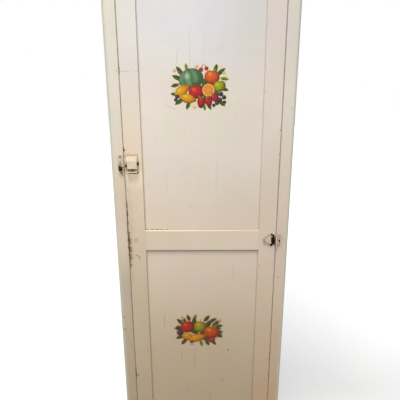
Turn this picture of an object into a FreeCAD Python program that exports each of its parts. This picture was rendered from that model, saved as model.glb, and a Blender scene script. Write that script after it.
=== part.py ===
"""Tall painted pine cupboard with one panelled door, in millimetres.

X runs to the right, Y to the back and Z up. The origin is the middle of the footprint of the
top board, on the floor. The door hangs on three butterfly hinges on its right edge, and a lift
latch on its left stile drops a bar into a hooked strike on the face frame.

Sizes are cells of the sheet. A place or length is a text such as "cabinet_width / 2", which
names those cells, and formula() turns it into an expression of the document.
"""
import FreeCAD, Part
import os
import re

import Sketcher

DRIVING_SIZES = {
    # carcass
    "cabinet_width": 483,
    "cabinet_depth": 380,
    "cabinet_height": 1778,
    "side_thickness": 18,
    "top_thickness": 22,
    "top_overhang": 22,
    "top_rounding": 8,
    "bottom_thickness": 18,
    "housing_depth": 6,
    "foot_height": 94,
    "side_arch_span": 240,
    "side_arch_rise": 60,
    "cornice_size": 16,
    "cove_radius": 11,
    # face frame and door stock
    "stock_thickness": 20,
    "frame_stile_width": 34,
    "frame_rail_width": 56,
    "frame_tenon_length": 22,
    "corner_rounding": 7.5,
    "edge_ease": 1.2,
    # back
    "back_thickness": 12,
    "back_lap": 9,
    "tongue_length": 6,
    "tongue_thickness": 4,
    "batten_height": 30,
    "batten_thickness": 20,
    # shelves
    "shelf_thickness": 18,
    "shelf_setback": 6,
    "shelf_clearance": 0.8,
    "cleat_thickness": 18,
    "cleat_height": 25,
    # door
    "door_gap": 1.2,
    "door_stile_width": 47.8,
    "top_rail_width": 60,
    "middle_rail_width": 60,
    "bottom_rail_width": 90,
    "tenon_length": 30,
    "tenon_thickness": 7,
    "tenon_shoulder": 10,
    "panel_thickness": 6,
    "groove_depth": 8,
    "panel_play": 0.8,
    "joint_fit": 0.1,
    "stop_length": 300,
    "stop_width": 24,
    "stop_thickness": 12,
    "stop_overlap": 10,
    # printed transfers on the panels
    "transfer_thickness": 0.2,
    "transfer_rounding": 38,
    "upper_transfer_width": 142,
    "upper_transfer_height": 114,
    "upper_transfer_shift": -5,
    "upper_transfer_rise": 419,
    "lower_transfer_width": 142,
    "lower_transfer_height": 108,
    "lower_transfer_shift": -11,
    "lower_transfer_drop": 299,
    # nails
    "nail_radius": 1.2,
    "nail_head_radius": 2.8,
    "nail_head_thickness": 1,
    "back_nail_length": 36,
    "cleat_nail_length": 30,
    "top_nail_length": 50,
    "nail_inset": 40,
    "shaft_clearance": 0.05,
    # hinges
    "hinge_inset": 100,
    "hinge_axis_stand": 4.6,
    "knuckle_radius": 4.3,
    "knuckle_length": 9,
    "knuckle_gap": 0.3,
    "hinge_pin_radius": 1.6,
    "hinge_pin_head_radius": 3.2,
    "hinge_pin_head_height": 1.8,
    "leaf_thickness": 1.6,
    "leaf_rounding": 2.4,
    "wing_reach": 38.6,
    "wing_shoulder": 17,
    "wing_half_height": 21,
    "wing_tip_half_height": 4,
    "wing_neck_half_height": 14,
    "frame_leaf_width": 17,
    "frame_leaf_half_height": 17,
    # wood screws
    "screw_head_radius": 3,
    "screw_shank_radius": 1.4,
    "screw_length": 14,
    "screw_slot_width": 0.8,
    "screw_slot_depth": 0.5,
    # latch
    "latch_rise": 222,
    "latch_edge_margin": 4.3,
    "latch_plate_width": 33,
    "latch_plate_height": 56,
    "latch_plate_thickness": 1.5,
    "latch_plate_rounding": 3,
    "case_width": 28,
    "case_height": 42,
    "case_drop": 1,
    "case_depth": 12.5,
    "case_wall": 1.2,
    "case_bevel_height": 10,
    "case_bevel_depth": 8,
    "window_width": 23,
    "window_height": 7,
    "window_lip": 3.5,
    "slot_play": 0.8,
    "pivot_drop": 2,
    "pivot_radius": 2,
    "pivot_shoulder_radius": 3.4,
    "pivot_head_thickness": 1.2,
    "lever_stand": 5,
    "lever_thickness": 2,
    "lever_play": 0.2,
    "lever_hub_radius": 5.5,
    "bar_height": 5.5,
    "bar_reach": 33,
    "bar_tail": 17,
    "bar_tilt": 10,
    "tab_width": 6.5,
    "tab_stand": 0.8,
    "tab_length": 7.5,
    "spring_radius": 2.1,
    "spring_wire_radius": 0.35,
    "spring_pitch": 1.7,
    "spring_offset": 7.5,
    "latch_screw_spread": 18,
    "latch_screw_inset": 3.2,
    "latch_screw_head_radius": 2.2,
    # strike
    "strike_width": 15,
    "strike_above": 24,
    "strike_below": 34,
    "strike_thickness": 1.5,
    "strike_inset": 1.4,
    "hook_width": 9,
    "hook_room": 2.2,
    "hook_lip_height": 9,
    "strike_screw_rise": 17.7,
    "strike_screw_drop": 25,
}

SHELF_COUNT = 4
BACK_BOARD_COUNT = 5

# Planes and lengths that several pieces share.
HALF_WIDTH = "(cabinet_width / 2)"
FRONT = "((top_overhang - cabinet_depth) / 2)"
BACK = "((top_overhang + cabinet_depth) / 2)"
CARCASS_FRONT = f"({FRONT} + stock_thickness)"
CARCASS_DEPTH = "(cabinet_depth - stock_thickness)"
CARCASS_TOP = "(cabinet_height - top_thickness)"
INNER_HALF = "(cabinet_width / 2 - side_thickness)"
BACK_INSIDE = f"({BACK} - back_thickness)"
FLOOR_DEPTH = f"({CARCASS_DEPTH} - back_thickness)"
OPENING_HALF = "(cabinet_width / 2 - frame_stile_width)"
OPENING_BOTTOM = "(foot_height + frame_rail_width)"
OPENING_TOP = f"({CARCASS_TOP} - frame_rail_width)"
OPENING_HEIGHT = f"({OPENING_TOP} - {OPENING_BOTTOM})"
DOOR_LEFT = f"(door_gap - {OPENING_HALF})"
DOOR_WIDTH = f"(2 * {OPENING_HALF} - 2 * door_gap)"
DOOR_BOTTOM = f"({OPENING_BOTTOM} + door_gap)"
DOOR_HEIGHT = f"({OPENING_HEIGHT} - 2 * door_gap)"
DOOR_MIDDLE = f"({DOOR_BOTTOM} + {DOOR_HEIGHT} / 2)"
PANEL_OPENING = f"({DOOR_WIDTH} - 2 * door_stile_width)"
PANEL_RECESS = "((stock_thickness - panel_thickness) / 2)"
TENON_RECESS = "((stock_thickness - tenon_thickness) / 2)"
LOWER_PANEL_BOTTOM = "(bottom_rail_width)"
LOWER_PANEL_TOP = f"({DOOR_HEIGHT} / 2 - middle_rail_width / 2)"
UPPER_PANEL_BOTTOM = f"({DOOR_HEIGHT} / 2 + middle_rail_width / 2)"
UPPER_PANEL_TOP = f"({DOOR_HEIGHT} - top_rail_width)"
SHELF_PITCH = f"({OPENING_HEIGHT} / {SHELF_COUNT + 1})"
SHELF_DEPTH = f"({FLOOR_DEPTH} - shelf_setback - shelf_clearance)"
BACK_BOARD_WIDTH = f"(2 * ({INNER_HALF} + back_lap) / {BACK_BOARD_COUNT})"
HINGE_X = f"({OPENING_HALF} - door_gap / 2)"
HINGE_HEIGHTS = {
    "top": f"({DOOR_BOTTOM} + {DOOR_HEIGHT} - hinge_inset)",
    "middle": DOOR_MIDDLE,
    "bottom": f"({DOOR_BOTTOM} + hinge_inset)",
}
LATCH_X = f"({DOOR_LEFT} + latch_edge_margin + latch_plate_width / 2)"
LATCH_Z = f"({DOOR_MIDDLE} + latch_rise)"

AXIS_TURNS = {
    "x": FreeCAD.Rotation(FreeCAD.Vector(0, 1, 0), 90),
    "y": FreeCAD.Rotation(FreeCAD.Vector(1, 0, 0), -90),
    "z": FreeCAD.Rotation(),
}
AXES = "xyz"

doc = FreeCAD.newDocument("PaintedCupboard")
sub_parts = []


# ---------------------------------------------------------------- sheet and expressions

def make_sheet():
    """Write one row of name and value for each driving size."""
    sizes = doc.addObject("Spreadsheet::Sheet", "Sizes")
    for row, (alias, number) in enumerate(DRIVING_SIZES.items(), start=1):
        sizes.set(f"A{row}", alias)
        sizes.set(f"B{row}", str(number))
        sizes.setAlias(f"B{row}", alias)
    doc.recompute()
    return sizes


sheet = make_sheet()


def formula(text):
    """Point each size name in a text at its cell."""
    return re.sub(r"[a-z][a-z_]*", lambda word: cell_of(word[0]), text)


def cell_of(word):
    return f"Sizes.{word}" if word in DRIVING_SIZES else word


def value(text):
    """The number that a text of sizes comes to."""
    return float(sheet.evalExpression(formula(text)))


def bind(item, properties):
    for name, text in properties.items():
        item.setExpression(name, formula(text))


def place(item, corner):
    bind(item, {f"Placement.Base.{axis}": text for axis, text in zip(AXES, corner)})


# ---------------------------------------------------------------- bodies and features

def new_body(label, corner):
    """A body whose own origin lies at the given corner."""
    body = doc.addObject("PartDesign::Body", label)
    body.Label = label
    place(body, corner)
    sub_parts.append(body)
    return body


def box(body, name, corner, size, cut=False):
    kind = "Subtractive" if cut else "Additive"
    block = body.newObject(f"PartDesign::{kind}Box", name)
    bind(block, dict(zip(("Length", "Width", "Height"), size)))
    place(block, corner)
    return block


def cylinder(body, name, axis, base, radius, length, cut=False):
    """A round feature that starts at base and runs along the positive axis."""
    kind = "Subtractive" if cut else "Additive"
    rod = body.newObject(f"PartDesign::{kind}Cylinder", name)
    rod.Placement = FreeCAD.Placement(FreeCAD.Vector(), AXIS_TURNS[axis])
    bind(rod, {"Radius": radius, "Height": length})
    place(rod, base)
    return rod


def board(label, corner, size):
    body = new_body(label, corner)
    box(body, f"{label}_blank", ("0", "0", "0"), size)
    return body


def plane_of(body, role):
    return next(item for item in body.Origin.OriginFeatures if item.Role == role)


def outline(body, name, role, points, offset="0"):
    """A closed sketch of straight lines through points whose two coordinates are texts."""
    sketch = body.newObject("Sketcher::SketchObject", name)
    sketch.AttachmentSupport = [(plane_of(body, role), "")]
    sketch.MapMode = "FlatFace"
    bind(sketch, {"AttachmentOffset.Base.z": offset})
    corners = [FreeCAD.Vector(value(across), value(up), 0) for across, up in points]
    for number, corner in enumerate(corners):
        following = corners[(number + 1) % len(corners)]
        sketch.addGeometry(Part.LineSegment(corner, following), False)
    for number in range(len(corners)):
        following = (number + 1) % len(corners)
        sketch.addConstraint(Sketcher.Constraint("Coincident", number, 2, following, 1))
    for number, (across, up) in enumerate(points):
        start = corners[number]
        for kind, text, place_now in (("DistanceX", across, start.x), ("DistanceY", up, start.y)):
            index = sketch.addConstraint(Sketcher.Constraint(kind, -1, 1, number, 1, place_now))
            sketch.renameConstraint(index, f"{kind}_{number}")
            bind(sketch, {f"Constraints.{kind}_{number}": text})
    return sketch


def pad(body, name, sketch, length, reverse=False, both=False):
    block = body.newObject("PartDesign::Pad", name)
    block.Profile = sketch
    block.Reversed = reverse
    block.Midplane = both
    bind(block, {"Length": length})
    return block


def pocket(body, name, sketch, length, reverse=False, both=False):
    hollow = body.newObject("PartDesign::Pocket", name)
    hollow.Profile = sketch
    hollow.Reversed = reverse
    hollow.Midplane = both
    bind(hollow, {"Length": length})
    return hollow


def edges_along(shape, axis, wanted):
    """Names of the straight edges that run along an axis and whose middle is wanted."""
    number = AXES.index(axis)
    names = []
    for index, edge in enumerate(shape.Edges, start=1):
        straight = isinstance(edge.Curve, Part.Line)
        if straight and abs(abs(edge.tangentAt(edge.FirstParameter)[number]) - 1) < 1e-6:
            if wanted(edge.BoundBox.Center):
                names.append(f"Edge{index}")
    return names


def round_edges(body, name, radius, chosen):
    """Fillet the edges that chosen() picks from the body's present shape."""
    doc.recompute()
    tip = body.Tip
    fillet = body.newObject("PartDesign::Fillet", name)
    fillet.Base = (tip, chosen(tip.Shape))
    bind(fillet, {"Radius": radius})


def near(number, text):
    return abs(number - value(text)) < 1e-3


def ease_upright_arris(body, name, inner_x, toward, low, high):
    """Bevel the front arris at inner_x between two heights; toward is the side that holds wood."""
    sketch = outline(body, f"{name}_corner", "XY_Plane", (
        (inner_x, "0"),
        (f"{inner_x} + {toward} * edge_ease", "0"),
        (inner_x, "edge_ease"),
    ), offset=low)
    pocket(body, name, sketch, f"{high} - {low}", reverse=True)


def ease_level_arris(body, name, height, toward, half_length):
    """Bevel a rail's front arris from shoulder to shoulder; toward is the side that holds wood."""
    sketch = outline(body, f"{name}_corner", "YZ_Plane", (
        ("0", height),
        ("edge_ease", height),
        ("0", f"{height} + {toward} * edge_ease"),
    ))
    pocket(body, name, sketch, f"2 * {half_length}", both=True)


# ---------------------------------------------------------------- fasteners

def loose_cylinder(name, axis, base, radius, length):
    rod = doc.addObject("Part::Cylinder", name)
    rod.Placement = FreeCAD.Placement(FreeCAD.Vector(), AXIS_TURNS[axis])
    bind(rod, {"Radius": radius, "Height": length})
    place(rod, base)
    return rod


def joined(name, first, second):
    union = doc.addObject("Part::Fuse", name)
    union.Base = first
    union.Tool = second
    return union


def group(label, pieces):
    """One sub-part that holds several separate solids."""
    bunch = doc.addObject("Part::Compound", label)
    bunch.Label = label
    bunch.Links = pieces
    sub_parts.append(bunch)
    return bunch


def shifted(point, axis, text):
    """The point moved along an axis by a text."""
    moved = list(point)
    moved[AXES.index(axis)] = f"({point[AXES.index(axis)]}) + ({text})"
    return tuple(moved)


def nail(name, axis, head, length, sense):
    """A flat-headed nail; its head's face is centred on head and it runs along sense * axis."""
    low = "0" if sense > 0 else f"-({length})"
    head_low = "0" if sense > 0 else "-nail_head_thickness"
    shank = loose_cylinder(f"{name}_shank", axis, shifted(head, axis, low), "nail_radius", length)
    disc = loose_cylinder(f"{name}_head", axis, shifted(head, axis, head_low),
                          "nail_head_radius", "nail_head_thickness")
    return joined(name, shank, disc)


def nail_hole(body, name, axis, head, length, sense, with_head=False):
    """The hole that a nail of the same head and length leaves, in the body's own coordinates."""
    low = "0" if sense > 0 else f"-({length})"
    cylinder(body, name, axis, shifted(head, axis, low),
             "nail_radius + shaft_clearance", length, cut=True)
    if with_head:
        head_low = "0" if sense > 0 else "-nail_head_thickness"
        cylinder(body, f"{name}_head", axis, shifted(head, axis, head_low),
                 "nail_head_radius + shaft_clearance", "nail_head_thickness", cut=True)


def screw(name, x, y, z, head_radius, seat):
    """A slotted countersunk screw that runs back along Y from its head's face at y."""
    shank = loose_cylinder(f"{name}_shank", "y", (x, y, z), "screw_shank_radius", "screw_length")
    head = doc.addObject("Part::Cone", f"{name}_head")
    head.Placement = FreeCAD.Placement(FreeCAD.Vector(), AXIS_TURNS["y"])
    bind(head, {"Radius1": head_radius, "Radius2": "screw_shank_radius", "Height": seat})
    place(head, (x, y, z))
    slot = doc.addObject("Part::Box", f"{name}_slot")
    bind(slot, {"Length": "screw_slot_width", "Width": "screw_slot_depth", "Height": f"2 * {head_radius}"})
    place(slot, (f"{x} - screw_slot_width / 2", y, f"{z} - {head_radius}"))
    cut = doc.addObject("Part::Cut", name)
    cut.Base = joined(f"{name}_blank", shank, head)
    cut.Tool = slot
    return cut


def countersink(body, name, x, y, z, head_radius, seat):
    """The conical seat through a metal plate for such a screw."""
    cone = body.newObject("PartDesign::SubtractiveCone", name)
    cone.Placement = FreeCAD.Placement(FreeCAD.Vector(), AXIS_TURNS["y"])
    bind(cone, {
        "Radius1": f"{head_radius} + shaft_clearance",
        "Radius2": "screw_shank_radius + shaft_clearance",
        "Height": seat,
    })
    place(cone, (x, y, z))


def screw_hole(body, name, x, z, seat):
    """The pilot hole in wood, from the face at y = 0, for a screw through a plate of that seat."""
    cylinder(body, name, "y", (x, "0", z), "screw_shank_radius + shaft_clearance",
             f"screw_length - {seat} + shaft_clearance", cut=True)


# ---------------------------------------------------------------- carcass

def shelf_top(number):
    """Height of a shelf's upper face; shelves are numbered from the bottom."""
    return f"({OPENING_BOTTOM} + {number} * {SHELF_PITCH})"


def cleat_nail_heads(number):
    """Depth and height of the two nails of each cleat under a shelf."""
    height = f"({shelf_top(number)} - shelf_thickness - cleat_height / 2)"
    front = f"({CARCASS_FRONT} + shelf_setback + nail_inset)"
    back = f"({CARCASS_FRONT} + shelf_setback + {SHELF_DEPTH} - nail_inset)"
    return [(front, height), (back, height)]


def top_nail_depths():
    """Depths of the nails that hold the top board to each side."""
    middle = f"(({CARCASS_FRONT} + {BACK}) / 2)"
    return [f"({CARCASS_FRONT} + nail_inset)", middle, f"({BACK} - nail_inset)"]


def back_nail_rows():
    """Heights of the nails in the back boards: into the bottom board and the top batten."""
    return [f"({OPENING_BOTTOM} - bottom_thickness / 2)", f"({CARCASS_TOP} - batten_height / 2)"]


def back_nail_columns(number):
    """Places across the cupboard of the two nails in each row of a back board."""
    left = f"({number} * {BACK_BOARD_WIDTH} - {INNER_HALF} - back_lap)"
    return [f"({left} + {BACK_BOARD_WIDTH} / 4)", f"({left} + {BACK_BOARD_WIDTH} * 3 / 4)"]


def make_side(label, sense):
    """A side board; sense is -1 on the left and 1 on the right."""
    outer = f"(-{HALF_WIDTH})" if sense < 0 else f"({HALF_WIDTH} - side_thickness)"
    corner = (outer, CARCASS_FRONT, "0")
    body = board(label, corner, ("side_thickness", CARCASS_DEPTH, CARCASS_TOP))
    housing_x = "side_thickness - housing_depth" if sense < 0 else "0"
    box(body, f"{label}_bottom_housing",
        (housing_x, "0", f"{OPENING_BOTTOM} - bottom_thickness - joint_fit"),
        ("housing_depth", FLOOR_DEPTH, "bottom_thickness + 2 * joint_fit"), cut=True)
    rabbet_x = "side_thickness - back_lap" if sense < 0 else "0"
    box(body, f"{label}_back_rabbet", (rabbet_x, FLOOR_DEPTH, "0"),
        ("back_lap", "back_thickness", CARCASS_TOP), cut=True)
    arch_radius = "((side_arch_span ^ 2 / 4 + side_arch_rise ^ 2) / (2 * side_arch_rise))"
    cylinder(body, f"{label}_arch", "x", ("0", f"{CARCASS_DEPTH} / 2", f"side_arch_rise - {arch_radius}"),
             arch_radius, "side_thickness", cut=True)
    inner_face = "side_thickness + cleat_thickness" if sense < 0 else "-cleat_thickness"
    for number in range(1, SHELF_COUNT + 1):
        for order, (depth, height) in enumerate(cleat_nail_heads(number), start=1):
            nail_hole(body, f"{label}_cleat_hole_{number}_{order}", "x",
                      (inner_face, f"{depth} - {CARCASS_FRONT}", height), "cleat_nail_length", sense)
    for order, depth in enumerate(top_nail_depths(), start=1):
        nail_hole(body, f"{label}_top_hole_{order}", "z",
                  ("side_thickness / 2", f"{depth} - {CARCASS_FRONT}", "cabinet_height"),
                  "top_nail_length", -1)


def make_top_board():
    corner = (f"(-{HALF_WIDTH} - top_overhang)", f"({FRONT} - top_overhang)", CARCASS_TOP)
    size = ("(cabinet_width + 2 * top_overhang)", "(cabinet_depth + top_overhang)", "top_thickness")
    body = board("top_board", corner, size)
    for side, sense in (("left", -1), ("right", 1)):
        across = f"{HALF_WIDTH} + top_overhang + {sense} * ({HALF_WIDTH} - side_thickness / 2)"
        for order, depth in enumerate(top_nail_depths(), start=1):
            nail_hole(body, f"top_board_{side}_hole_{order}", "z",
                      (across, f"{depth} - {FRONT} + top_overhang", "top_thickness"),
                      "top_nail_length", -1, with_head=True)
    back = value(size[1])

    def front_corners(shape):
        return edges_along(shape, "z", lambda middle: near(middle.y, "0"))

    def top_and_bottom_rims(shape):
        rims = edges_along(shape, "x", lambda middle: middle.y < back / 2)
        return rims + edges_along(shape, "y", lambda middle: True)

    round_edges(body, "top_board_corners", "top_rounding", front_corners)
    round_edges(body, "top_board_rims", "top_rounding", top_and_bottom_rims)


def make_bottom_board():
    left = f"(-{INNER_HALF} - housing_depth + joint_fit)"
    corner = (left, CARCASS_FRONT, f"({OPENING_BOTTOM} - bottom_thickness)")
    width = f"(2 * ({INNER_HALF} + housing_depth - joint_fit))"
    body = board("bottom_board", corner, (width, FLOOR_DEPTH, "bottom_thickness"))
    for number in range(BACK_BOARD_COUNT):
        for order, across in enumerate(back_nail_columns(number), start=1):
            nail_hole(body, f"bottom_board_hole_{number + 1}_{order}", "y",
                      (f"{across} + {width} / 2", f"{CARCASS_DEPTH}", "bottom_thickness / 2"),
                      "back_nail_length", -1)


def make_back_batten():
    """The batten under the top board that the back boards are nailed to."""
    corner = (f"(-{INNER_HALF})", f"({BACK_INSIDE} - batten_thickness)", f"({CARCASS_TOP} - batten_height)")
    body = board("back_batten", corner, (f"(2 * {INNER_HALF})", "batten_thickness", "batten_height"))
    for number in range(BACK_BOARD_COUNT):
        for order, across in enumerate(back_nail_columns(number), start=1):
            nail_hole(body, f"back_batten_hole_{number + 1}_{order}", "y",
                      (f"{across} + {INNER_HALF}", "batten_thickness + back_thickness", "batten_height / 2"),
                      "back_nail_length", -1)


def make_back_board(number):
    """One tongued and grooved board; boards are numbered from the left."""
    label = f"back_board_{number + 1}"
    corner = (f"({number} * {BACK_BOARD_WIDTH} - {INNER_HALF} - back_lap)", BACK_INSIDE, "foot_height")
    height = f"({CARCASS_TOP} - foot_height)"
    body = board(label, corner, (BACK_BOARD_WIDTH, "back_thickness", height))
    tongue_y = "(back_thickness - tongue_thickness) / 2"
    if number < BACK_BOARD_COUNT - 1:
        box(body, f"{label}_tongue", (BACK_BOARD_WIDTH, tongue_y, "0"),
            ("tongue_length", "tongue_thickness", height))
    if number > 0:
        box(body, f"{label}_groove", ("0", f"{tongue_y} - joint_fit", "0"),
            ("tongue_length + joint_fit", "tongue_thickness + 2 * joint_fit", height), cut=True)
    for row, up in enumerate(back_nail_rows(), start=1):
        for order, across in enumerate(back_nail_columns(number), start=1):
            nail_hole(body, f"{label}_hole_{row}_{order}", "y",
                      (f"{across} - {corner[0]}", "back_thickness", f"{up} - foot_height"),
                      "back_nail_length", -1, with_head=True)


def make_shelf(number):
    label = f"shelf_{number}"
    width = f"(2 * ({INNER_HALF} - shelf_clearance))"
    corner = (f"(-{width} / 2)", f"({CARCASS_FRONT} + shelf_setback)",
              f"({shelf_top(number)} - shelf_thickness)")
    body = board(label, corner, (width, SHELF_DEPTH, "shelf_thickness"))
    round_edges(body, f"{label}_ease", "edge_ease",
                lambda shape: edges_along(shape, "x", lambda middle: near(middle.y, "0")))


def make_cleat(number, side, sense):
    """The strip on a side board that a shelf rests on."""
    label = f"shelf_cleat_{side}_{number}"
    left = f"(-{INNER_HALF})" if sense < 0 else f"({INNER_HALF} - cleat_thickness)"
    front = f"({CARCASS_FRONT} + shelf_setback)"
    low = f"({shelf_top(number)} - shelf_thickness - cleat_height)"
    body = board(label, (left, front, low), ("cleat_thickness", SHELF_DEPTH, "cleat_height"))
    head_x = "cleat_thickness" if sense < 0 else "0"
    for order, (depth, height) in enumerate(cleat_nail_heads(number), start=1):
        nail_hole(body, f"{label}_hole_{order}", "x", (head_x, f"{depth} - {front}", f"{height} - {low}"),
                  "cleat_nail_length", sense, with_head=True)


def make_cornice():
    """Cove moulding under the top board, mitred at the two front corners."""
    low = f"({CARCASS_TOP} - cornice_size)"
    front = new_body("cornice_front", ("0", FRONT, low))
    plan = outline(front, "cornice_front_plan", "XY_Plane", (
        (f"-{HALF_WIDTH}", "0"),
        (f"-{HALF_WIDTH} - cornice_size", "-cornice_size"),
        (f"{HALF_WIDTH} + cornice_size", "-cornice_size"),
        (HALF_WIDTH, "0"),
    ))
    pad(front, "cornice_front_blank", plan, "cornice_size")
    cylinder(front, "cornice_front_cove", "x", (f"-{HALF_WIDTH} - cornice_size", "-cornice_size", "0"),
             "cove_radius", "cabinet_width + 2 * cornice_size", cut=True)
    for side, sense in (("left", -1), ("right", 1)):
        label = f"cornice_{side}"
        body = new_body(label, (f"({sense} * {HALF_WIDTH})", FRONT, low))
        plan = outline(body, f"{label}_plan", "XY_Plane", (
            ("0", "0"),
            ("0", "cabinet_depth"),
            (f"{sense} * cornice_size", "cabinet_depth"),
            (f"{sense} * cornice_size", "-cornice_size"),
        ))
        pad(body, f"{label}_blank", plan, "cornice_size")
        cylinder(body, f"{label}_cove", "y", (f"{sense} * cornice_size", "-cornice_size", "0"),
                 "cove_radius", "cabinet_depth + cornice_size", cut=True)


def make_nails():
    back_nails = []
    for row, height in enumerate(back_nail_rows(), start=1):
        for number in range(BACK_BOARD_COUNT):
            for order, across in enumerate(back_nail_columns(number), start=1):
                name = f"back_nail_{row}_{number + 1}_{order}"
                back_nails.append(nail(name, "y", (across, BACK, height), "back_nail_length", -1))
    group("back_nails", back_nails)
    carcass_nails = []
    for side, sense in (("left", -1), ("right", 1)):
        for number in range(1, SHELF_COUNT + 1):
            for order, (depth, height) in enumerate(cleat_nail_heads(number), start=1):
                head = (f"{sense} * ({INNER_HALF} - cleat_thickness)", depth, height)
                name = f"cleat_nail_{side}_{number}_{order}"
                carcass_nails.append(nail(name, "x", head, "cleat_nail_length", sense))
        for order, depth in enumerate(top_nail_depths(), start=1):
            head = (f"{sense} * ({HALF_WIDTH} - side_thickness / 2)", depth, "cabinet_height")
            carcass_nails.append(nail(f"top_nail_{side}_{order}", "z", head, "top_nail_length", -1))
    group("carcass_nails", carcass_nails)


# ---------------------------------------------------------------- face frame

def mortise(body, name, side_x, low, high, length):
    """A blind mortise for a tenon between two heights; side_x is where it starts along X."""
    box(body, name, (side_x, f"{TENON_RECESS} - joint_fit", f"{low} + tenon_shoulder - joint_fit"),
        (f"{length} + joint_fit", "tenon_thickness + 2 * joint_fit",
         f"{high} - {low} - 2 * tenon_shoulder + 2 * joint_fit"), cut=True)


def tenons(body, name, half_length, width, length):
    """The two tenons of a rail whose shoulders are half_length from its middle."""
    for end, start in (("left", f"-{half_length} - {length}"), ("right", half_length)):
        box(body, f"{name}_{end}_tenon", (start, TENON_RECESS, "tenon_shoulder"),
            (length, "tenon_thickness", f"{width} - 2 * tenon_shoulder"))


def make_frame_stile(label, sense):
    """An upright of the face frame; sense is -1 on the left and 1 on the right."""
    corner = (f"(-{HALF_WIDTH})" if sense < 0 else OPENING_HALF, FRONT, "0")
    body = board(label, corner, ("frame_stile_width", "stock_thickness", CARCASS_TOP))
    outer_x = "0" if sense < 0 else "frame_stile_width"
    round_edges(body, f"{label}_corner", "corner_rounding", lambda shape: edges_along(
        shape, "z", lambda middle: near(middle.x, outer_x) and near(middle.y, "0")))
    inner_x = "frame_stile_width" if sense < 0 else "0"
    start_x = "frame_stile_width - frame_tenon_length - joint_fit" if sense < 0 else "0"
    mortise(body, f"{label}_bottom_mortise", start_x, "foot_height", OPENING_BOTTOM, "frame_tenon_length")
    mortise(body, f"{label}_top_mortise", start_x, OPENING_TOP, CARCASS_TOP, "frame_tenon_length")
    ease_upright_arris(body, f"{label}_arris", inner_x, sense, OPENING_BOTTOM, OPENING_TOP)
    if sense > 0:
        for place_name, height in HINGE_HEIGHTS.items():
            for order, (across, up) in enumerate(frame_leaf_screws(), start=1):
                screw_hole(body, f"{label}_{place_name}_hole_{order}",
                           f"{HINGE_X} - {OPENING_HALF} + {across}", f"{height} + {up}", "leaf_thickness")
    else:
        for order, up in enumerate(strike_screws(), start=1):
            screw_hole(body, f"{label}_strike_hole_{order}",
                       f"{STRIKE_X} + {HALF_WIDTH}", f"{LATCH_Z} + {up}", "strike_thickness")


def make_frame_rail(label, low, eased_height, toward):
    body = new_body(label, ("0", FRONT, low))
    box(body, f"{label}_blank", (f"-{OPENING_HALF}", "0", "0"),
        (f"2 * {OPENING_HALF}", "stock_thickness", "frame_rail_width"))
    tenons(body, label, OPENING_HALF, "frame_rail_width", "frame_tenon_length")
    ease_level_arris(body, f"{label}_arris", eased_height, toward, OPENING_HALF)


def make_door_stop():
    """The strip behind the top rail that the closed door rests against."""
    corner = ("(-stop_length / 2)", CARCASS_FRONT, f"({OPENING_TOP} - stop_overlap)")
    board("door_stop", corner, ("stop_length", "stop_thickness", "stop_width"))


# ---------------------------------------------------------------- door

def make_door_stile(label, sense):
    """An upright of the door; sense is -1 on the left and 1 on the right."""
    left = DOOR_LEFT if sense < 0 else f"({OPENING_HALF} - door_gap - door_stile_width)"
    body = board(label, (left, FRONT, DOOR_BOTTOM), ("door_stile_width", "stock_thickness", DOOR_HEIGHT))
    outer_x = "0" if sense < 0 else "door_stile_width"
    round_edges(body, f"{label}_outer_ease", "edge_ease", lambda shape: edges_along(
        shape, "z", lambda middle: near(middle.x, outer_x) and near(middle.y, "0")))
    groove_x = "door_stile_width - groove_depth" if sense < 0 else "0"
    box(body, f"{label}_groove",
        (groove_x, f"{PANEL_RECESS} - joint_fit", f"{LOWER_PANEL_BOTTOM} - groove_depth"),
        ("groove_depth", "panel_thickness + 2 * joint_fit",
         f"{UPPER_PANEL_TOP} - {LOWER_PANEL_BOTTOM} + 2 * groove_depth"), cut=True)
    start_x = "door_stile_width - tenon_length - joint_fit" if sense < 0 else "0"
    for name, low, high in (
            ("bottom", "0", LOWER_PANEL_BOTTOM),
            ("middle", LOWER_PANEL_TOP, UPPER_PANEL_BOTTOM),
            ("top", UPPER_PANEL_TOP, DOOR_HEIGHT)):
        mortise(body, f"{label}_{name}_mortise", start_x, low, high, "tenon_length")
    inner_x = "door_stile_width" if sense < 0 else "0"
    for name, low, high in (
            ("lower", LOWER_PANEL_BOTTOM, LOWER_PANEL_TOP),
            ("upper", UPPER_PANEL_BOTTOM, UPPER_PANEL_TOP)):
        ease_upright_arris(body, f"{label}_{name}_arris", inner_x, sense, low, high)
    if sense > 0:
        for place_name, height in HINGE_HEIGHTS.items():
            for order, (across, up) in enumerate(wing_screws(), start=1):
                screw_hole(body, f"{label}_{place_name}_hole_{order}",
                           f"{HINGE_X} - {left} + {across}", f"{height} - {DOOR_BOTTOM} + {up}",
                           "leaf_thickness")
    else:
        for order, (across, up) in enumerate(latch_screws(), start=1):
            screw_hole(body, f"{label}_latch_hole_{order}",
                       f"{LATCH_X} - {left} + {across}", f"{LATCH_Z} - {DOOR_BOTTOM} + {up}",
                       "latch_plate_thickness")


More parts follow.
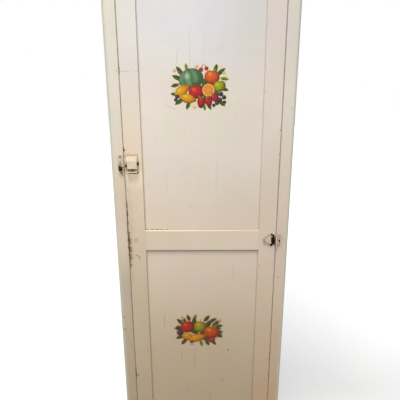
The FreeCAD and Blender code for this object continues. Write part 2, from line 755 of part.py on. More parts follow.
def make_door_rail(label, low, width, groove_below, groove_above):
    half_length = f"({PANEL_OPENING} / 2)"
    body = new_body(label, ("0", FRONT, f"({DOOR_BOTTOM} + {low})"))
    box(body, f"{label}_blank", (f"-{half_length}", "0", "0"), (PANEL_OPENING, "stock_thickness", width))
    tenons(body, label, half_length, width, "tenon_length")
    groove_size = (PANEL_OPENING, "panel_thickness + 2 * joint_fit", "groove_depth")
    if groove_below:
        box(body, f"{label}_lower_groove", (f"-{half_length}", f"{PANEL_RECESS} - joint_fit", "0"),
            groove_size, cut=True)
        ease_level_arris(body, f"{label}_lower_arris", "0", 1, half_length)
    if groove_above:
        box(body, f"{label}_upper_groove",
            (f"-{half_length}", f"{PANEL_RECESS} - joint_fit", f"{width} - groove_depth"),
            groove_size, cut=True)
        ease_level_arris(body, f"{label}_upper_arris", width, -1, half_length)
    return body


def bore_rail_for_wing_tip(rail):
    """The screw at the tip of the middle hinge's wing goes on into the middle rail's tenon."""
    across, up = wing_screws()[-1]
    screw_hole(rail, "door_middle_rail_wing_hole", f"{HINGE_X} + {across}", f"middle_rail_width / 2 + {up}",
               "leaf_thickness")


def make_door_panel(label, low, high):
    grip = "(groove_depth - panel_play)"
    left = f"(-{PANEL_OPENING} / 2 - {grip})"
    bottom = f"({DOOR_BOTTOM} + {low} - {grip})"
    size = (f"({PANEL_OPENING} + 2 * {grip})", "panel_thickness", f"({high} - {low} + 2 * {grip})")
    board(label, (left, f"({FRONT} + {PANEL_RECESS})", bottom), size)


def make_transfer(label, shift, height, wide, tall):
    """A thin printed transfer that lies on the face of a door panel."""
    face = f"({FRONT} + {PANEL_RECESS} - transfer_thickness)"
    corner = (f"({shift} - {wide} / 2)", face, f"({height} - {tall} / 2)")
    body = board(label, corner, (wide, "transfer_thickness", tall))
    round_edges(body, f"{label}_corners", "transfer_rounding",
                lambda shape: edges_along(shape, "y", lambda middle: True))


# ---------------------------------------------------------------- hinges

def wing_screws():
    """Screws of the door leaf, measured from the hinge axis and the hinge's middle."""
    shoulder = "(wing_half_height - wing_neck_half_height / 2)"
    return [
        ("-wing_shoulder + leaf_rounding", shoulder),
        ("-wing_shoulder + leaf_rounding", f"-{shoulder}"),
        ("-wing_reach + 3 * screw_head_radius", "0"),
    ]


def frame_leaf_screws():
    """Screws of the frame leaf, measured the same way."""
    across = "(frame_leaf_width / 2 + knuckle_radius / 2)"
    up = "(frame_leaf_half_height - 2 * screw_head_radius)"
    return [(across, up), (across, f"-{up}")]


def make_knuckle(body, name, low, web_left, rise_left):
    """One curl of a leaf round the pin, with the stepped neck that joins it to the leaf."""
    cylinder(body, f"{name}_curl", "z", ("0", "-hinge_axis_stand", low), "knuckle_radius", "knuckle_length")
    box(body, f"{name}_web", (web_left, NECK_FACE, low), (LEAF_START, "leaf_thickness", "knuckle_length"))
    box(body, f"{name}_rise", (rise_left, NECK_FACE, low),
        ("leaf_thickness", f"-{NECK_FACE}", "knuckle_length"))


def bore_knuckles(body, name, half_height):
    cylinder(body, f"{name}_bore", "z", ("0", "-hinge_axis_stand", f"-{half_height}"),
             "hinge_pin_radius + shaft_clearance", f"2 * {half_height}", cut=True)


BARREL_HALF = "(knuckle_length * 3 / 2 + knuckle_gap)"
LEAF_START = "(knuckle_radius + knuckle_gap)"
NECK_FACE = "(-hinge_axis_stand / 2 - leaf_thickness)"


def make_wing_leaf(place_name, height):
    """The door leaf: a pointed wing with the middle knuckle."""
    label = f"hinge_door_leaf_{place_name}"
    body = new_body(label, (HINGE_X, FRONT, height))
    wing = outline(body, f"{label}_outline", "XZ_Plane", (
        (f"-{LEAF_START}", "wing_neck_half_height"),
        ("-wing_shoulder / 2", "wing_half_height"),
        ("-wing_shoulder", "wing_half_height"),
        ("-wing_reach", "wing_tip_half_height"),
        ("-wing_reach", "-wing_tip_half_height"),
        ("-wing_shoulder", "-wing_half_height"),
        ("-wing_shoulder / 2", "-wing_half_height"),
        (f"-{LEAF_START}", "-wing_neck_half_height"),
    ))
    pad(body, f"{label}_plate", wing, "leaf_thickness")
    round_edges(body, f"{label}_corners", "leaf_rounding", lambda shape: edges_along(
        shape, "y", lambda middle: not near(middle.x, f"-{LEAF_START}")))
    make_knuckle(body, f"{label}_knuckle", "-knuckle_length / 2",
                 f"-{LEAF_START}", f"-{LEAF_START} - leaf_thickness")
    bore_knuckles(body, label, BARREL_HALF)
    for order, (across, up) in enumerate(wing_screws(), start=1):
        countersink(body, f"{label}_seat_{order}", across, "-leaf_thickness", up,
                    "screw_head_radius", "leaf_thickness")


def make_frame_leaf(place_name, height):
    """The frame leaf: a plain plate with the upper and lower knuckles."""
    label = f"hinge_frame_leaf_{place_name}"
    body = new_body(label, (HINGE_X, FRONT, height))
    box(body, f"{label}_plate", (LEAF_START, "-leaf_thickness", "-frame_leaf_half_height"),
        (f"frame_leaf_width - {LEAF_START}", "leaf_thickness", "2 * frame_leaf_half_height"))
    round_edges(body, f"{label}_corners", "leaf_rounding",
                lambda shape: edges_along(shape, "y", lambda middle: near(middle.x, "frame_leaf_width")))
    for end, low in (("lower", f"-{BARREL_HALF}"), ("upper", f"{BARREL_HALF} - knuckle_length")):
        make_knuckle(body, f"{label}_{end}", low, "0", LEAF_START)
    bore_knuckles(body, label, BARREL_HALF)
    for order, (across, up) in enumerate(frame_leaf_screws(), start=1):
        countersink(body, f"{label}_seat_{order}", across, "-leaf_thickness", up,
                    "screw_head_radius", "leaf_thickness")


def make_hinge_pin(place_name, height):
    """The headed pin; its heads lie just outside the barrel."""
    label = f"hinge_pin_{place_name}"
    body = new_body(label, (HINGE_X, f"({FRONT} - hinge_axis_stand)", height))
    cylinder(body, f"{label}_shaft", "z", ("0", "0", f"-{BARREL_HALF}"),
             "hinge_pin_radius", f"2 * {BARREL_HALF}")
    cylinder(body, f"{label}_upper_head", "z", ("0", "0", BARREL_HALF),
             "hinge_pin_head_radius", "hinge_pin_head_height")
    cylinder(body, f"{label}_lower_head", "z", ("0", "0", f"-{BARREL_HALF} - hinge_pin_head_height"),
             "hinge_pin_head_radius", "hinge_pin_head_height")
    round_edges(body, f"{label}_dome", "hinge_pin_head_height / 2", lambda shape: [
        f"Edge{index}" for index, edge in enumerate(shape.Edges, start=1)
        if isinstance(edge.Curve, Part.Circle)
        and abs(abs(edge.Curve.Center.z) - value(f"{BARREL_HALF} + hinge_pin_head_height")) < 1e-3])


def make_hinge_screws():
    frame_screws = []
    door_screws = []
    face = f"({FRONT} - leaf_thickness)"
    for place_name, height in HINGE_HEIGHTS.items():
        for order, (across, up) in enumerate(frame_leaf_screws(), start=1):
            frame_screws.append(screw(f"frame_screw_{place_name}_{order}", f"{HINGE_X} + {across}", face,
                                      f"{height} + {up}", "screw_head_radius", "leaf_thickness"))
        for order, (across, up) in enumerate(wing_screws(), start=1):
            door_screws.append(screw(f"door_screw_{place_name}_{order}", f"{HINGE_X} + {across}", face,
                                     f"{height} + {up}", "screw_head_radius", "leaf_thickness"))
    group("hinge_frame_screws", frame_screws)
    group("hinge_door_screws", door_screws)


# ---------------------------------------------------------------- latch

CASE_TOP = "(case_height / 2 - case_drop)"
CASE_BOTTOM = "(-case_height / 2 - case_drop)"
CASE_FACE = "(latch_plate_thickness + case_depth)"
WINDOW_LOW = f"({CASE_BOTTOM} + window_lip)"
STRIKE_X = f"(-{OPENING_HALF} - strike_inset - strike_width / 2)"
BAR_END_DROP = "(bar_reach * sin(bar_tilt) + bar_height / 2 * cos(bar_tilt))"
HOOK_FLOOR = f"(-pivot_drop - {BAR_END_DROP} - lever_play)"
HOOK_LIP = "(lever_stand + lever_thickness + hook_room - strike_thickness)"


def latch_screws():
    """Screws of the latch plate, measured from the latch's middle."""
    across = "(latch_screw_spread / 2)"
    up = "(latch_plate_height / 2 - latch_screw_inset)"
    return [(f"-{across}", up), (across, up), (f"-{across}", f"-{up}"), (across, f"-{up}")]


def strike_screws():
    """Heights of the strike's two screws above the latch's middle."""
    return ["strike_screw_rise", "-strike_screw_drop"]


def make_latch_plate():
    corner = (LATCH_X, FRONT, LATCH_Z)
    body = new_body("latch_base_plate", corner)
    box(body, "latch_base_plate_blank",
        ("-latch_plate_width / 2", "-latch_plate_thickness", "-latch_plate_height / 2"),
        ("latch_plate_width", "latch_plate_thickness", "latch_plate_height"))
    round_edges(body, "latch_base_plate_corners", "latch_plate_rounding",
                lambda shape: edges_along(shape, "y", lambda middle: True))
    for order, (across, up) in enumerate(latch_screws(), start=1):
        countersink(body, f"latch_base_plate_seat_{order}", across, "-latch_plate_thickness", up,
                    "latch_screw_head_radius", "latch_plate_thickness")


def make_latch_case():
    """A pressed cover, open at the back, with a window below and a slot in each side."""
    body = new_body("latch_case", (LATCH_X, f"({FRONT} - latch_plate_thickness)", LATCH_Z))
    side = outline(body, "latch_case_side", "YZ_Plane", (
        ("0", CASE_BOTTOM),
        ("-case_depth", CASE_BOTTOM),
        ("-case_depth", f"{CASE_TOP} - case_bevel_height"),
        ("-case_depth + case_bevel_depth", CASE_TOP),
        ("0", CASE_TOP),
    ))
    pad(body, "latch_case_blank", side, "case_width", both=True)
    round_edges(body, "latch_case_corners", "2 * case_wall", lambda shape: edges_along(
        shape, "z", lambda middle: near(middle.y, "-case_depth")))
    hollow = outline(body, "latch_case_inside", "YZ_Plane", (
        ("0", f"{CASE_BOTTOM} + case_wall"),
        ("-case_depth + case_wall", f"{CASE_BOTTOM} + case_wall"),
        ("-case_depth + case_wall", f"{CASE_TOP} - case_bevel_height"),
        ("-case_depth + case_bevel_depth", f"{CASE_TOP} - 2 * case_wall"),
        ("0", f"{CASE_TOP} - 2 * case_wall"),
    ))
    pocket(body, "latch_case_hollow", hollow, "case_width - 2 * case_wall", both=True)
    box(body, "latch_case_window", ("-window_width / 2", "-case_depth", WINDOW_LOW),
        ("window_width", "2 * case_wall", "window_height"), cut=True)
    slot_half = "(case_width / 2 * tan(bar_tilt) + bar_height / 2 / cos(bar_tilt) + slot_play)"
    box(body, "latch_case_slots",
        ("-case_width / 2", "latch_plate_thickness - lever_stand - lever_thickness - slot_play",
         f"-pivot_drop - {slot_half}"),
        ("case_width", "lever_thickness + 2 * slot_play", f"2 * {slot_half}"), cut=True)


def make_latch_pivot():
    """The shouldered stud that the lever turns on, riveted in the plate."""
    body = new_body("latch_pivot", (LATCH_X, FRONT, f"({LATCH_Z} - pivot_drop)"))
    shoulder = "(lever_stand - lever_play - latch_plate_thickness)"
    head = "(lever_stand + lever_thickness + lever_play)"
    cylinder(body, "latch_pivot_shaft", "y", ("0", f"-{head} - pivot_head_thickness", "0"), "pivot_radius",
             f"{head} + pivot_head_thickness - latch_plate_thickness")
    cylinder(body, "latch_pivot_shoulder", "y", ("0", f"-latch_plate_thickness - {shoulder}", "0"),
             "pivot_shoulder_radius", shoulder)
    cylinder(body, "latch_pivot_head", "y", ("0", f"-{head} - pivot_head_thickness", "0"),
             "pivot_shoulder_radius", "pivot_head_thickness")


def make_latch_lever():
    """The see-saw bar with its thumb tab, made level and set at its resting tilt."""
    body = new_body("latch_lever", (LATCH_X, f"({FRONT} - lever_stand)", f"({LATCH_Z} - pivot_drop)"))
    body.Placement = FreeCAD.Placement(FreeCAD.Vector(), FreeCAD.Rotation(FreeCAD.Vector(0, 1, 0), 0))
    bar = outline(body, "latch_lever_bar_outline", "XZ_Plane", (
        tilted("-bar_reach", "-bar_height / 2"),
        tilted("bar_tail", "-bar_height / 2"),
        tilted("bar_tail", "bar_height / 2"),
        tilted("-bar_reach", "bar_height / 2"),
    ))
    pad(body, "latch_lever_bar", bar, "lever_thickness")
    cylinder(body, "latch_lever_hub", "y", ("0", "-lever_thickness", "0"),
             "lever_hub_radius", "lever_thickness")
    shelf_top_z = f"({WINDOW_LOW} + pivot_drop + window_height * 3 / 5)"
    shelf_low_z = f"({shelf_top_z} - lever_thickness)"
    tab_back = f"({CASE_FACE} - lever_stand + tab_stand)"
    box(body, "latch_lever_stem", ("-tab_width / 2", "-lever_thickness", shelf_low_z),
        ("tab_width", "lever_thickness", f"-{shelf_low_z}"))
    box(body, "latch_lever_shelf", ("-tab_width / 2", f"-{tab_back} - lever_thickness", shelf_low_z),
        ("tab_width", f"{tab_back} + lever_thickness", "lever_thickness"))
    box(body, "latch_lever_tab",
        ("-tab_width / 2", f"-{tab_back} - lever_thickness", f"{shelf_top_z} - tab_length"),
        ("tab_width", "lever_thickness", "tab_length"))
    cylinder(body, "latch_lever_bore", "y", ("0", "-lever_thickness", "0"),
             "pivot_radius + shaft_clearance", "lever_thickness", cut=True)


def tilted(across, up):
    """A point of the level bar, turned about the pivot so that the left end sinks by bar_tilt."""
    return (f"({across}) * cos(bar_tilt) - ({up}) * sin(bar_tilt)",
            f"({across}) * sin(bar_tilt) + ({up}) * cos(bar_tilt)")


def make_latch_spring():
    """The coil that presses the bar's left arm down from under the case's top."""
    bar_top = "(bar_height / 2 / cos(bar_tilt) - (spring_offset - spring_radius) * tan(bar_tilt))"
    low = f"({bar_top} - pivot_drop + spring_wire_radius + lever_play)"
    middle = "(lever_stand + lever_thickness / 2)"
    past_bevel = f"({middle} + spring_radius + spring_wire_radius - {CASE_FACE} + case_bevel_depth)"
    roof_slope = "((case_bevel_height - 2 * case_wall) / (case_bevel_depth - case_wall))"
    high = f"({CASE_TOP} - 2 * case_wall - spring_wire_radius - max(0; {past_bevel}) * {roof_slope})"
    depth = f"({FRONT} - {middle})"
    body = new_body("latch_spring", (f"({LATCH_X} - spring_offset)", depth, f"({LATCH_Z} + {low})"))
    wire = body.newObject("Sketcher::SketchObject", "latch_spring_wire")
    wire.AttachmentSupport = [(plane_of(body, "XZ_Plane"), "")]
    wire.MapMode = "FlatFace"
    centre = FreeCAD.Vector(value("spring_radius"), 0, 0)
    wire.addGeometry(Part.Circle(centre, FreeCAD.Vector(0, 0, 1), value("spring_wire_radius")), False)
    for name, constraint, text in (
            ("coil", Sketcher.Constraint("DistanceX", -1, 1, 0, 3, centre.x), "spring_radius"),
            ("level", Sketcher.Constraint("DistanceY", -1, 1, 0, 3, 0), "0"),
            ("gauge", Sketcher.Constraint("Radius", 0, value("spring_wire_radius")), "spring_wire_radius")):
        index = wire.addConstraint(constraint)
        wire.renameConstraint(index, name)
        bind(wire, {f"Constraints.{name}": text})
    coil = body.newObject("PartDesign::AdditiveHelix", "latch_spring_coil")
    coil.Profile = wire
    coil.ReferenceAxis = (wire, ["V_Axis"])
    coil.Mode = 0
    bind(coil, {"Pitch": "spring_pitch", "Height": f"{high} - {low}"})


def make_latch_strike():
    """The hooked plate on the frame that the bar drops into."""
    body = new_body("latch_strike", (STRIKE_X, FRONT, LATCH_Z))
    box(body, "latch_strike_plate", ("-strike_width / 2", "-strike_thickness", "-strike_below"),
        ("strike_width", "strike_thickness", "strike_above + strike_below"))
    round_edges(body, "latch_strike_corners", "strike_width / 3",
                lambda shape: edges_along(shape, "y", lambda middle: True))
    box(body, "latch_strike_hook_floor", ("-hook_width / 2", f"-{HOOK_LIP} - strike_thickness",
                                          f"{HOOK_FLOOR} - strike_thickness"),
        ("hook_width", f"{HOOK_LIP} + strike_thickness", "strike_thickness"))
    box(body, "latch_strike_hook_lip", ("-hook_width / 2", f"-{HOOK_LIP} - strike_thickness",
                                        f"{HOOK_FLOOR} - strike_thickness"),
        ("hook_width", "strike_thickness", "hook_lip_height"))
    for order, up in enumerate(strike_screws(), start=1):
        countersink(body, f"latch_strike_seat_{order}", "0", "-strike_thickness", up,
                    "screw_head_radius", "strike_thickness")


def make_latch_screws():
    plate_face = f"({FRONT} - latch_plate_thickness)"
    group("latch_screws", [
        screw(f"latch_screw_{order}", f"{LATCH_X} + {across}", plate_face, f"{LATCH_Z} + {up}",
              "latch_screw_head_radius", "latch_plate_thickness")
        for order, (across, up) in enumerate(latch_screws(), start=1)])
    strike_face = f"({FRONT} - strike_thickness)"
    group("strike_screws", [
        screw(f"strike_screw_{order}", STRIKE_X, strike_face, f"{LATCH_Z} + {up}",
              "screw_head_radius", "strike_thickness")
        for order, up in enumerate(strike_screws(), start=1)])


# ---------------------------------------------------------------- assembly and export

def make_carcass():
    for label, sense in (("left_side_panel", -1), ("right_side_panel", 1)):
        make_side(label, sense)
    make_top_board()
    make_bottom_board()
    make_back_batten()
    for number in range(BACK_BOARD_COUNT):
        make_back_board(number)
    for number in range(1, SHELF_COUNT + 1):
        make_shelf(number)
        make_cleat(number, "left", -1)
        make_cleat(number, "right", 1)
    make_cornice()
    make_nails()


def make_face_frame():
    make_frame_stile("left_frame_stile", -1)
    make_frame_stile("right_frame_stile", 1)
    make_frame_rail("frame_bottom_rail", "foot_height", "frame_rail_width", -1)
    make_frame_rail("frame_top_rail", OPENING_TOP, "0", 1)
    make_door_stop()


def make_door():
    make_door_stile("door_left_stile", -1)
    make_door_stile("door_right_stile", 1)
    make_door_rail("door_bottom_rail", "0", "bottom_rail_width", False, True)
    middle_rail = make_door_rail("door_middle_rail", LOWER_PANEL_TOP, "middle_rail_width", True, True)
    bore_rail_for_wing_tip(middle_rail)
    make_door_rail("door_top_rail", UPPER_PANEL_TOP, "top_rail_width", True, False)
    make_door_panel("lower_door_panel", LOWER_PANEL_BOTTOM, LOWER_PANEL_TOP)
    make_door_panel("upper_door_panel", UPPER_PANEL_BOTTOM, UPPER_PANEL_TOP)
    make_transfer("upper_transfer", "upper_transfer_shift", f"({DOOR_MIDDLE} + upper_transfer_rise)",
                  "upper_transfer_width", "upper_transfer_height")
    make_transfer("lower_transfer", "lower_transfer_shift", f"({DOOR_MIDDLE} - lower_transfer_drop)",
                  "lower_transfer_width", "lower_transfer_height")


def make_hinges():
    for place_name, height in HINGE_HEIGHTS.items():
        make_frame_leaf(place_name, height)
        make_wing_leaf(place_name, height)
        make_hinge_pin(place_name, height)
    make_hinge_screws()


def make_latch():
    make_latch_plate()
    make_latch_case()
    make_latch_pivot()
    make_latch_lever()
    make_latch_spring()
    make_latch_strike()
    make_latch_screws()


def check():
    """Stop if anything in the document failed or a sub-part has no valid shape."""
    faults = [item.Name for item in doc.Objects if "Invalid" in item.State or "Error" in item.State]
    if faults:
        raise RuntimeError(f"features failed: {faults}")
    for part in sub_parts:
        if part.Shape.isNull() or not part.Shape.isValid() or not part.Shape.Solids:
            raise RuntimeError(f"{part.Label} has no valid solid")


def export():
    os.makedirs("parts", exist_ok=True)
    for part in sub_parts:
        part.Shape.exportStep(os.path.join("parts", f"{part.Label}.step"))
        solids = len(part.Shape.Solids)
        volume = part.Shape.Volume / 1000
        print(f"{part.Label}: {solids} solid(s), {volume:.2f} cm3")


make_carcass()
make_face_frame()
make_door()
make_hinges()
make_latch()
doc.recompute()
check()
export()
print(f"{len(sub_parts)} sub-parts")
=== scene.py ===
"""Finish of an old painted single-door cupboard: enamel, wear, hardware and printed transfers, with light
and camera."""

import math
import random

import bmesh
import bpy
from mathutils import Matrix, Vector


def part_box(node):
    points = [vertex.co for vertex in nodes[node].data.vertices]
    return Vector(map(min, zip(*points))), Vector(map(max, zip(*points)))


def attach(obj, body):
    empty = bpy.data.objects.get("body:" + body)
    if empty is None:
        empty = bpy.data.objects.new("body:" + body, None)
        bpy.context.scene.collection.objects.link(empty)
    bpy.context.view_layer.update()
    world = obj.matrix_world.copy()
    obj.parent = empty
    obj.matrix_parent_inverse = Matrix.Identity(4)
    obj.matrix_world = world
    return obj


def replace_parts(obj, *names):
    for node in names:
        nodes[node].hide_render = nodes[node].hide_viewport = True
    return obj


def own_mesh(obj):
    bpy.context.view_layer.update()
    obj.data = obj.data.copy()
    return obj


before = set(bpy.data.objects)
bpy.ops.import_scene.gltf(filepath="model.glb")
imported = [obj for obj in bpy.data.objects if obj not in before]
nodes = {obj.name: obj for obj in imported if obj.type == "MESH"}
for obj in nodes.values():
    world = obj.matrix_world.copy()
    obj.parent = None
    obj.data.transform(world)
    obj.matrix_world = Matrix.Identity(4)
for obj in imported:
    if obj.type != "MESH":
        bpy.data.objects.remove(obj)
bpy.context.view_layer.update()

bpy.ops.object.select_all(action="DESELECT")

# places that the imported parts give, in metres
door_stile_low, door_stile_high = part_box("door_right_stile")
frame_stile_low, frame_stile_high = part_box("right_frame_stile")
middle_rail_low, middle_rail_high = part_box("door_middle_rail")
FRONT = door_stile_low[1]                          # front face of the door and the face frame
PANEL_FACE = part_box("upper_door_panel")[0][1]      # front face of the two sunk door panels
PANEL_HALF = door_stile_low[0]                     # half the width that shows of the panels
DOOR_EDGE = door_stile_high[0]                     # half the door's width
OPENING_EDGE = frame_stile_low[0]                  # half the width of the opening in the face frame
CASE_EDGE = frame_stile_high[0]                    # half the width of the case
GAP = (DOOR_EDGE + OPENING_EDGE) / 2               # the door's gaps lie at x = -GAP and x = +GAP
DOOR_HEIGHT = door_stile_high[2] - door_stile_low[2]
DOOR_MIDDLE = (door_stile_low[2] + door_stile_high[2]) / 2
UPPER_PANEL = {"Left": -PANEL_HALF, "Right": PANEL_HALF, "Bottom": middle_rail_high[2],
               "Top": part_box("door_top_rail")[0][2]}
LOWER_PANEL = {"Left": -PANEL_HALF, "Right": PANEL_HALF, "Bottom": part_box("door_bottom_rail")[1][2],
               "Top": middle_rail_low[2]}

MM = 0.001
PAINT_SKIN = 0.00010     # how far lost paint stands off what it lies on


def shade(red, green, blue):
    """A screen colour, 0 to 255 in each part, as the linear colour that sockets take."""
    parts = [value / 255 for value in (red, green, blue)]
    return tuple(v / 12.92 if v <= 0.04045 else ((v + 0.055) / 1.055) ** 2.4 for v in parts) + (1.0,)


# ---------------------------------------------------------------- node helpers

def give(tree, socket, value):
    """Feeds an input with another node's output or with a plain value."""
    if isinstance(value, bpy.types.NodeSocket):
        tree.links.new(value, socket)
    else:
        socket.default_value = value


def put(tree, kind, feeds=(), **settings):
    """A new shader node with its settings and its inputs fed."""
    node = tree.nodes.new("ShaderNode" + kind)
    for name, value in settings.items():
        setattr(node, name, value)
    for key, value in dict(feeds).items():
        give(tree, node.inputs[key], value)
    return node


def sums(tree, operation, first, second=0.0, clamp=False):
    """One step of arithmetic on one or two values."""
    return put(tree, "Math", {0: first, 1: second}, operation=operation, use_clamp=clamp).outputs[0]


def product(tree, first, second):
    """Two vectors or colours multiplied part by part."""
    return put(tree, "VectorMath", {0: first, 1: second}, operation="MULTIPLY").outputs[0]


def away_from(tree, vector, centre):
    """A place measured from a centre."""
    return put(tree, "VectorMath", {0: vector, 1: centre}, operation="SUBTRACT").outputs[0]


def norm(tree, vector):
    """How long a vector is."""
    return put(tree, "VectorMath", {0: vector}, operation="LENGTH").outputs["Value"]


def part(tree, vector, axis):
    """One coordinate of a vector."""
    return put(tree, "SeparateXYZ", {0: vector}).outputs[axis]


def ramp(tree, value, low, high, out_low=0.0, out_high=1.0):
    """A soft step from out_low at low to out_high at high."""
    spread = put(tree, "MapRange", {"Value": value, 1: low, 2: high, 3: out_low, 4: out_high},
                 interpolation_type="SMOOTHSTEP")
    return spread.outputs["Result"]


def blend(tree, amount, under, over):
    """Colours mixed by amount, the second over the first."""
    return put(tree, "Mix", {"Factor": amount, 6: under, 7: over}, data_type="RGBA").outputs[2]


def clouds(tree, vector, scale, detail=3.0, rough=0.5, warp=0.0):
    """Noise from 0 to 1."""
    return put(tree, "TexNoise", {"Vector": vector, "Scale": scale, "Detail": detail, "Roughness": rough,
                                  "Distortion": warp}).outputs["Fac"]


def swing(tree, vector, scale, size, detail=3.0):
    """Noise that swings evenly about zero, size from end to end."""
    return sums(tree, "MULTIPLY", sums(tree, "SUBTRACT", clouds(tree, vector, scale, detail), 0.5), size)


def raise_surface(tree, shader, height, strength, distance, arris=0.0):
    """Relief on a finish, over arrises eased by a radius where one is given."""
    relief = put(tree, "Bump", {"Height": height, "Strength": strength, "Distance": distance})
    if arris:
        eased = put(tree, "Bevel", {"Radius": arris}, samples=4)
        tree.links.new(eased.outputs[0], relief.inputs["Normal"])
    tree.links.new(relief.outputs[0], shader.inputs["Normal"])


def effect(name, takes, gives):
    """An empty shader node group with named inputs and outputs, each with its kind of socket. Returns the
    group, what comes into it and what it gives out."""
    tree = bpy.data.node_groups.new(name, "ShaderNodeTree")
    for label, kind in takes.items():
        tree.interface.new_socket(label, in_out="INPUT", socket_type="NodeSocket" + kind)
    for label, kind in gives.items():
        tree.interface.new_socket(label, in_out="OUTPUT", socket_type="NodeSocket" + kind)
    return tree, tree.nodes.new("NodeGroupInput").outputs, tree.nodes.new("NodeGroupOutput").inputs


def use(tree, group, **values):
    """A group placed in a material; underscores in the names of its inputs stand for spaces."""
    node = tree.nodes.new("ShaderNodeGroup")
    node.node_tree = group
    for label, value in values.items():
        give(tree, node.inputs[label.replace("_", " ")], value)
    return node.outputs


# ---------------------------------------------------------------- shared effects

PINK_CAST = (1.012, 0.992, 1.018, 1.0)
YELLOW_CAST = (0.990, 1.008, 0.966, 1.0)


def make_brush_strokes():
    """Long soft ridges left by a brush, for gloss enamel."""
    tree, given, wanted = effect("Brush strokes", {"Vector": "Vector", "Run": "Vector"},
                                 {"Streak": "Float", "Height": "Float"})
    along = product(tree, given["Vector"], given["Run"])
    broad = clouds(tree, along, 1.0, detail=3.0, rough=0.55)
    fine = clouds(tree, along, 2.7, detail=2.0, rough=0.6)
    ridges = sums(tree, "ADD", sums(tree, "MULTIPLY", broad, 0.6), sums(tree, "MULTIPLY", fine, 0.4))
    tree.links.new(ridges, wanted["Height"])
    patches = ramp(tree, clouds(tree, given["Vector"], 4.5, detail=2.0), 0.42, 0.66)
    tree.links.new(sums(tree, "MULTIPLY", ramp(tree, broad, 0.35, 0.68), patches), wanted["Streak"])
    return tree


def make_old_paint_and_low_shade():
    """Enamel darker and browner towards the floor, partly as painted shade, in soft uneven patches."""
    tree, given, wanted = effect(
        "Old paint and low shade", {"Vector": "Vector", "High": "Color", "Middle": "Color", "Low": "Color",
                      "Low Level": "Float", "Middle Level": "Float", "High Level": "Float"},
        {"Color": "Color"})
    here = given["Vector"]
    level = sums(tree, "ADD", part(tree, here, "Z"), swing(tree, here, 2.2, 0.30, detail=2.0))
    upper = blend(tree, ramp(tree, level, given["Middle Level"], given["High Level"]), given["Middle"],
                  given["High"])
    whole = blend(tree, ramp(tree, level, given["Low Level"], given["Middle Level"]), given["Low"], upper)
    patch = clouds(tree, here, 7.0, detail=3.0, rough=0.6)
    stained = blend(tree, ramp(tree, patch, 0.40, 0.85, 0.0, 0.16), whole, shade(196, 176, 148))
    cast = blend(tree, ramp(tree, clouds(tree, here, 11.0, detail=1.5), 0.32, 0.68), PINK_CAST, YELLOW_CAST)
    tree.links.new(product(tree, stained, cast), wanted["Color"])
    return tree


def make_painted_side_shading():
    """Painted light and shade: the latch side made lighter and the hinge side darker, as light from the left
    falls, and the top given a painted tint of cooler light."""
    tree, given, wanted = effect(
        "Painted side shading", {"Vector": "Vector", "Color": "Color", "Latch Side": "Float", "Hinge Side": "Float",
                          "Top": "Vector"}, {"Color": "Color"})
    here = given["Vector"]
    sideways = ramp(tree, part(tree, here, "X"), -0.17, 0.17, given["Latch Side"], given["Hinge Side"])
    evened = put(tree, "VectorMath", {0: given["Color"], "Scale": sideways}, operation="SCALE").outputs[0]
    topped = product(tree, evened, given["Top"])
    high = ramp(tree, part(tree, here, "Z"), 1.30, 1.52)
    tree.links.new(blend(tree, high, evened, topped), wanted["Color"])
    return tree


def make_height_band():
    """A level band, full at its middle and gone at its two ends."""
    tree, given, wanted = effect("Height band", {"Vector": "Vector", "Middle": "Float", "Half": "Float"},
                                 {"Mask": "Float"})
    away = sums(tree, "ABSOLUTE", sums(tree, "SUBTRACT", part(tree, given["Vector"], "Z"), given["Middle"]))
    tree.links.new(ramp(tree, away, given["Half"], 0.0), wanted["Mask"])
    return tree


def make_outer_edge():
    """The strip along the case's two outer corners, by its distance from the middle of the front."""
    tree, given, wanted = effect("Outer edge", {"Vector": "Vector", "Begin": "Float", "Full": "Float"},
                                 {"Mask": "Float"})
    outward = sums(tree, "ABSOLUTE", part(tree, given["Vector"], "X"))
    tree.links.new(ramp(tree, outward, given["Begin"], given["Full"]), wanted["Mask"])
    return tree


def make_arris_wear():
    """A broken line along sharp edges, where hands and cloths have thinned the paint."""
    tree, given, wanted = effect("Arris wear", {"Vector": "Vector", "Width": "Float", "Amount": "Float",
                                                "Scale": "Float"}, {"Mask": "Float"})
    soft = put(tree, "Bevel", {"Radius": given["Width"]}, samples=6).outputs[0]
    hard = put(tree, "NewGeometry").outputs["True Normal"]
    facing = put(tree, "VectorMath", {0: soft, 1: hard}, operation="DOT_PRODUCT").outputs["Value"]
    edge = ramp(tree, facing, 0.97, 0.80)
    patch = clouds(tree, given["Vector"], given["Scale"], detail=4.0, rough=0.7)
    limit = sums(tree, "SUBTRACT", 1.0, given["Amount"])
    broken = ramp(tree, sums(tree, "SUBTRACT", patch, limit), -0.02, 0.05)
    tree.links.new(sums(tree, "MULTIPLY", edge, broken, clamp=True), wanted["Mask"])
    return tree


def make_ledge_dust_and_shade():
    """Dust, grease and painted shade on upward faces, between two steepnesses."""
    tree, given, wanted = effect("Ledge dust and shade", {"Begin": "Float", "Full": "Float", "Amount": "Float"},
                                 {"Mask": "Float"})
    upward = part(tree, put(tree, "NewGeometry").outputs["True Normal"], "Z")
    tree.links.new(ramp(tree, upward, given["Begin"], given["Full"], 0.0, given["Amount"]), wanted["Mask"])
    return tree


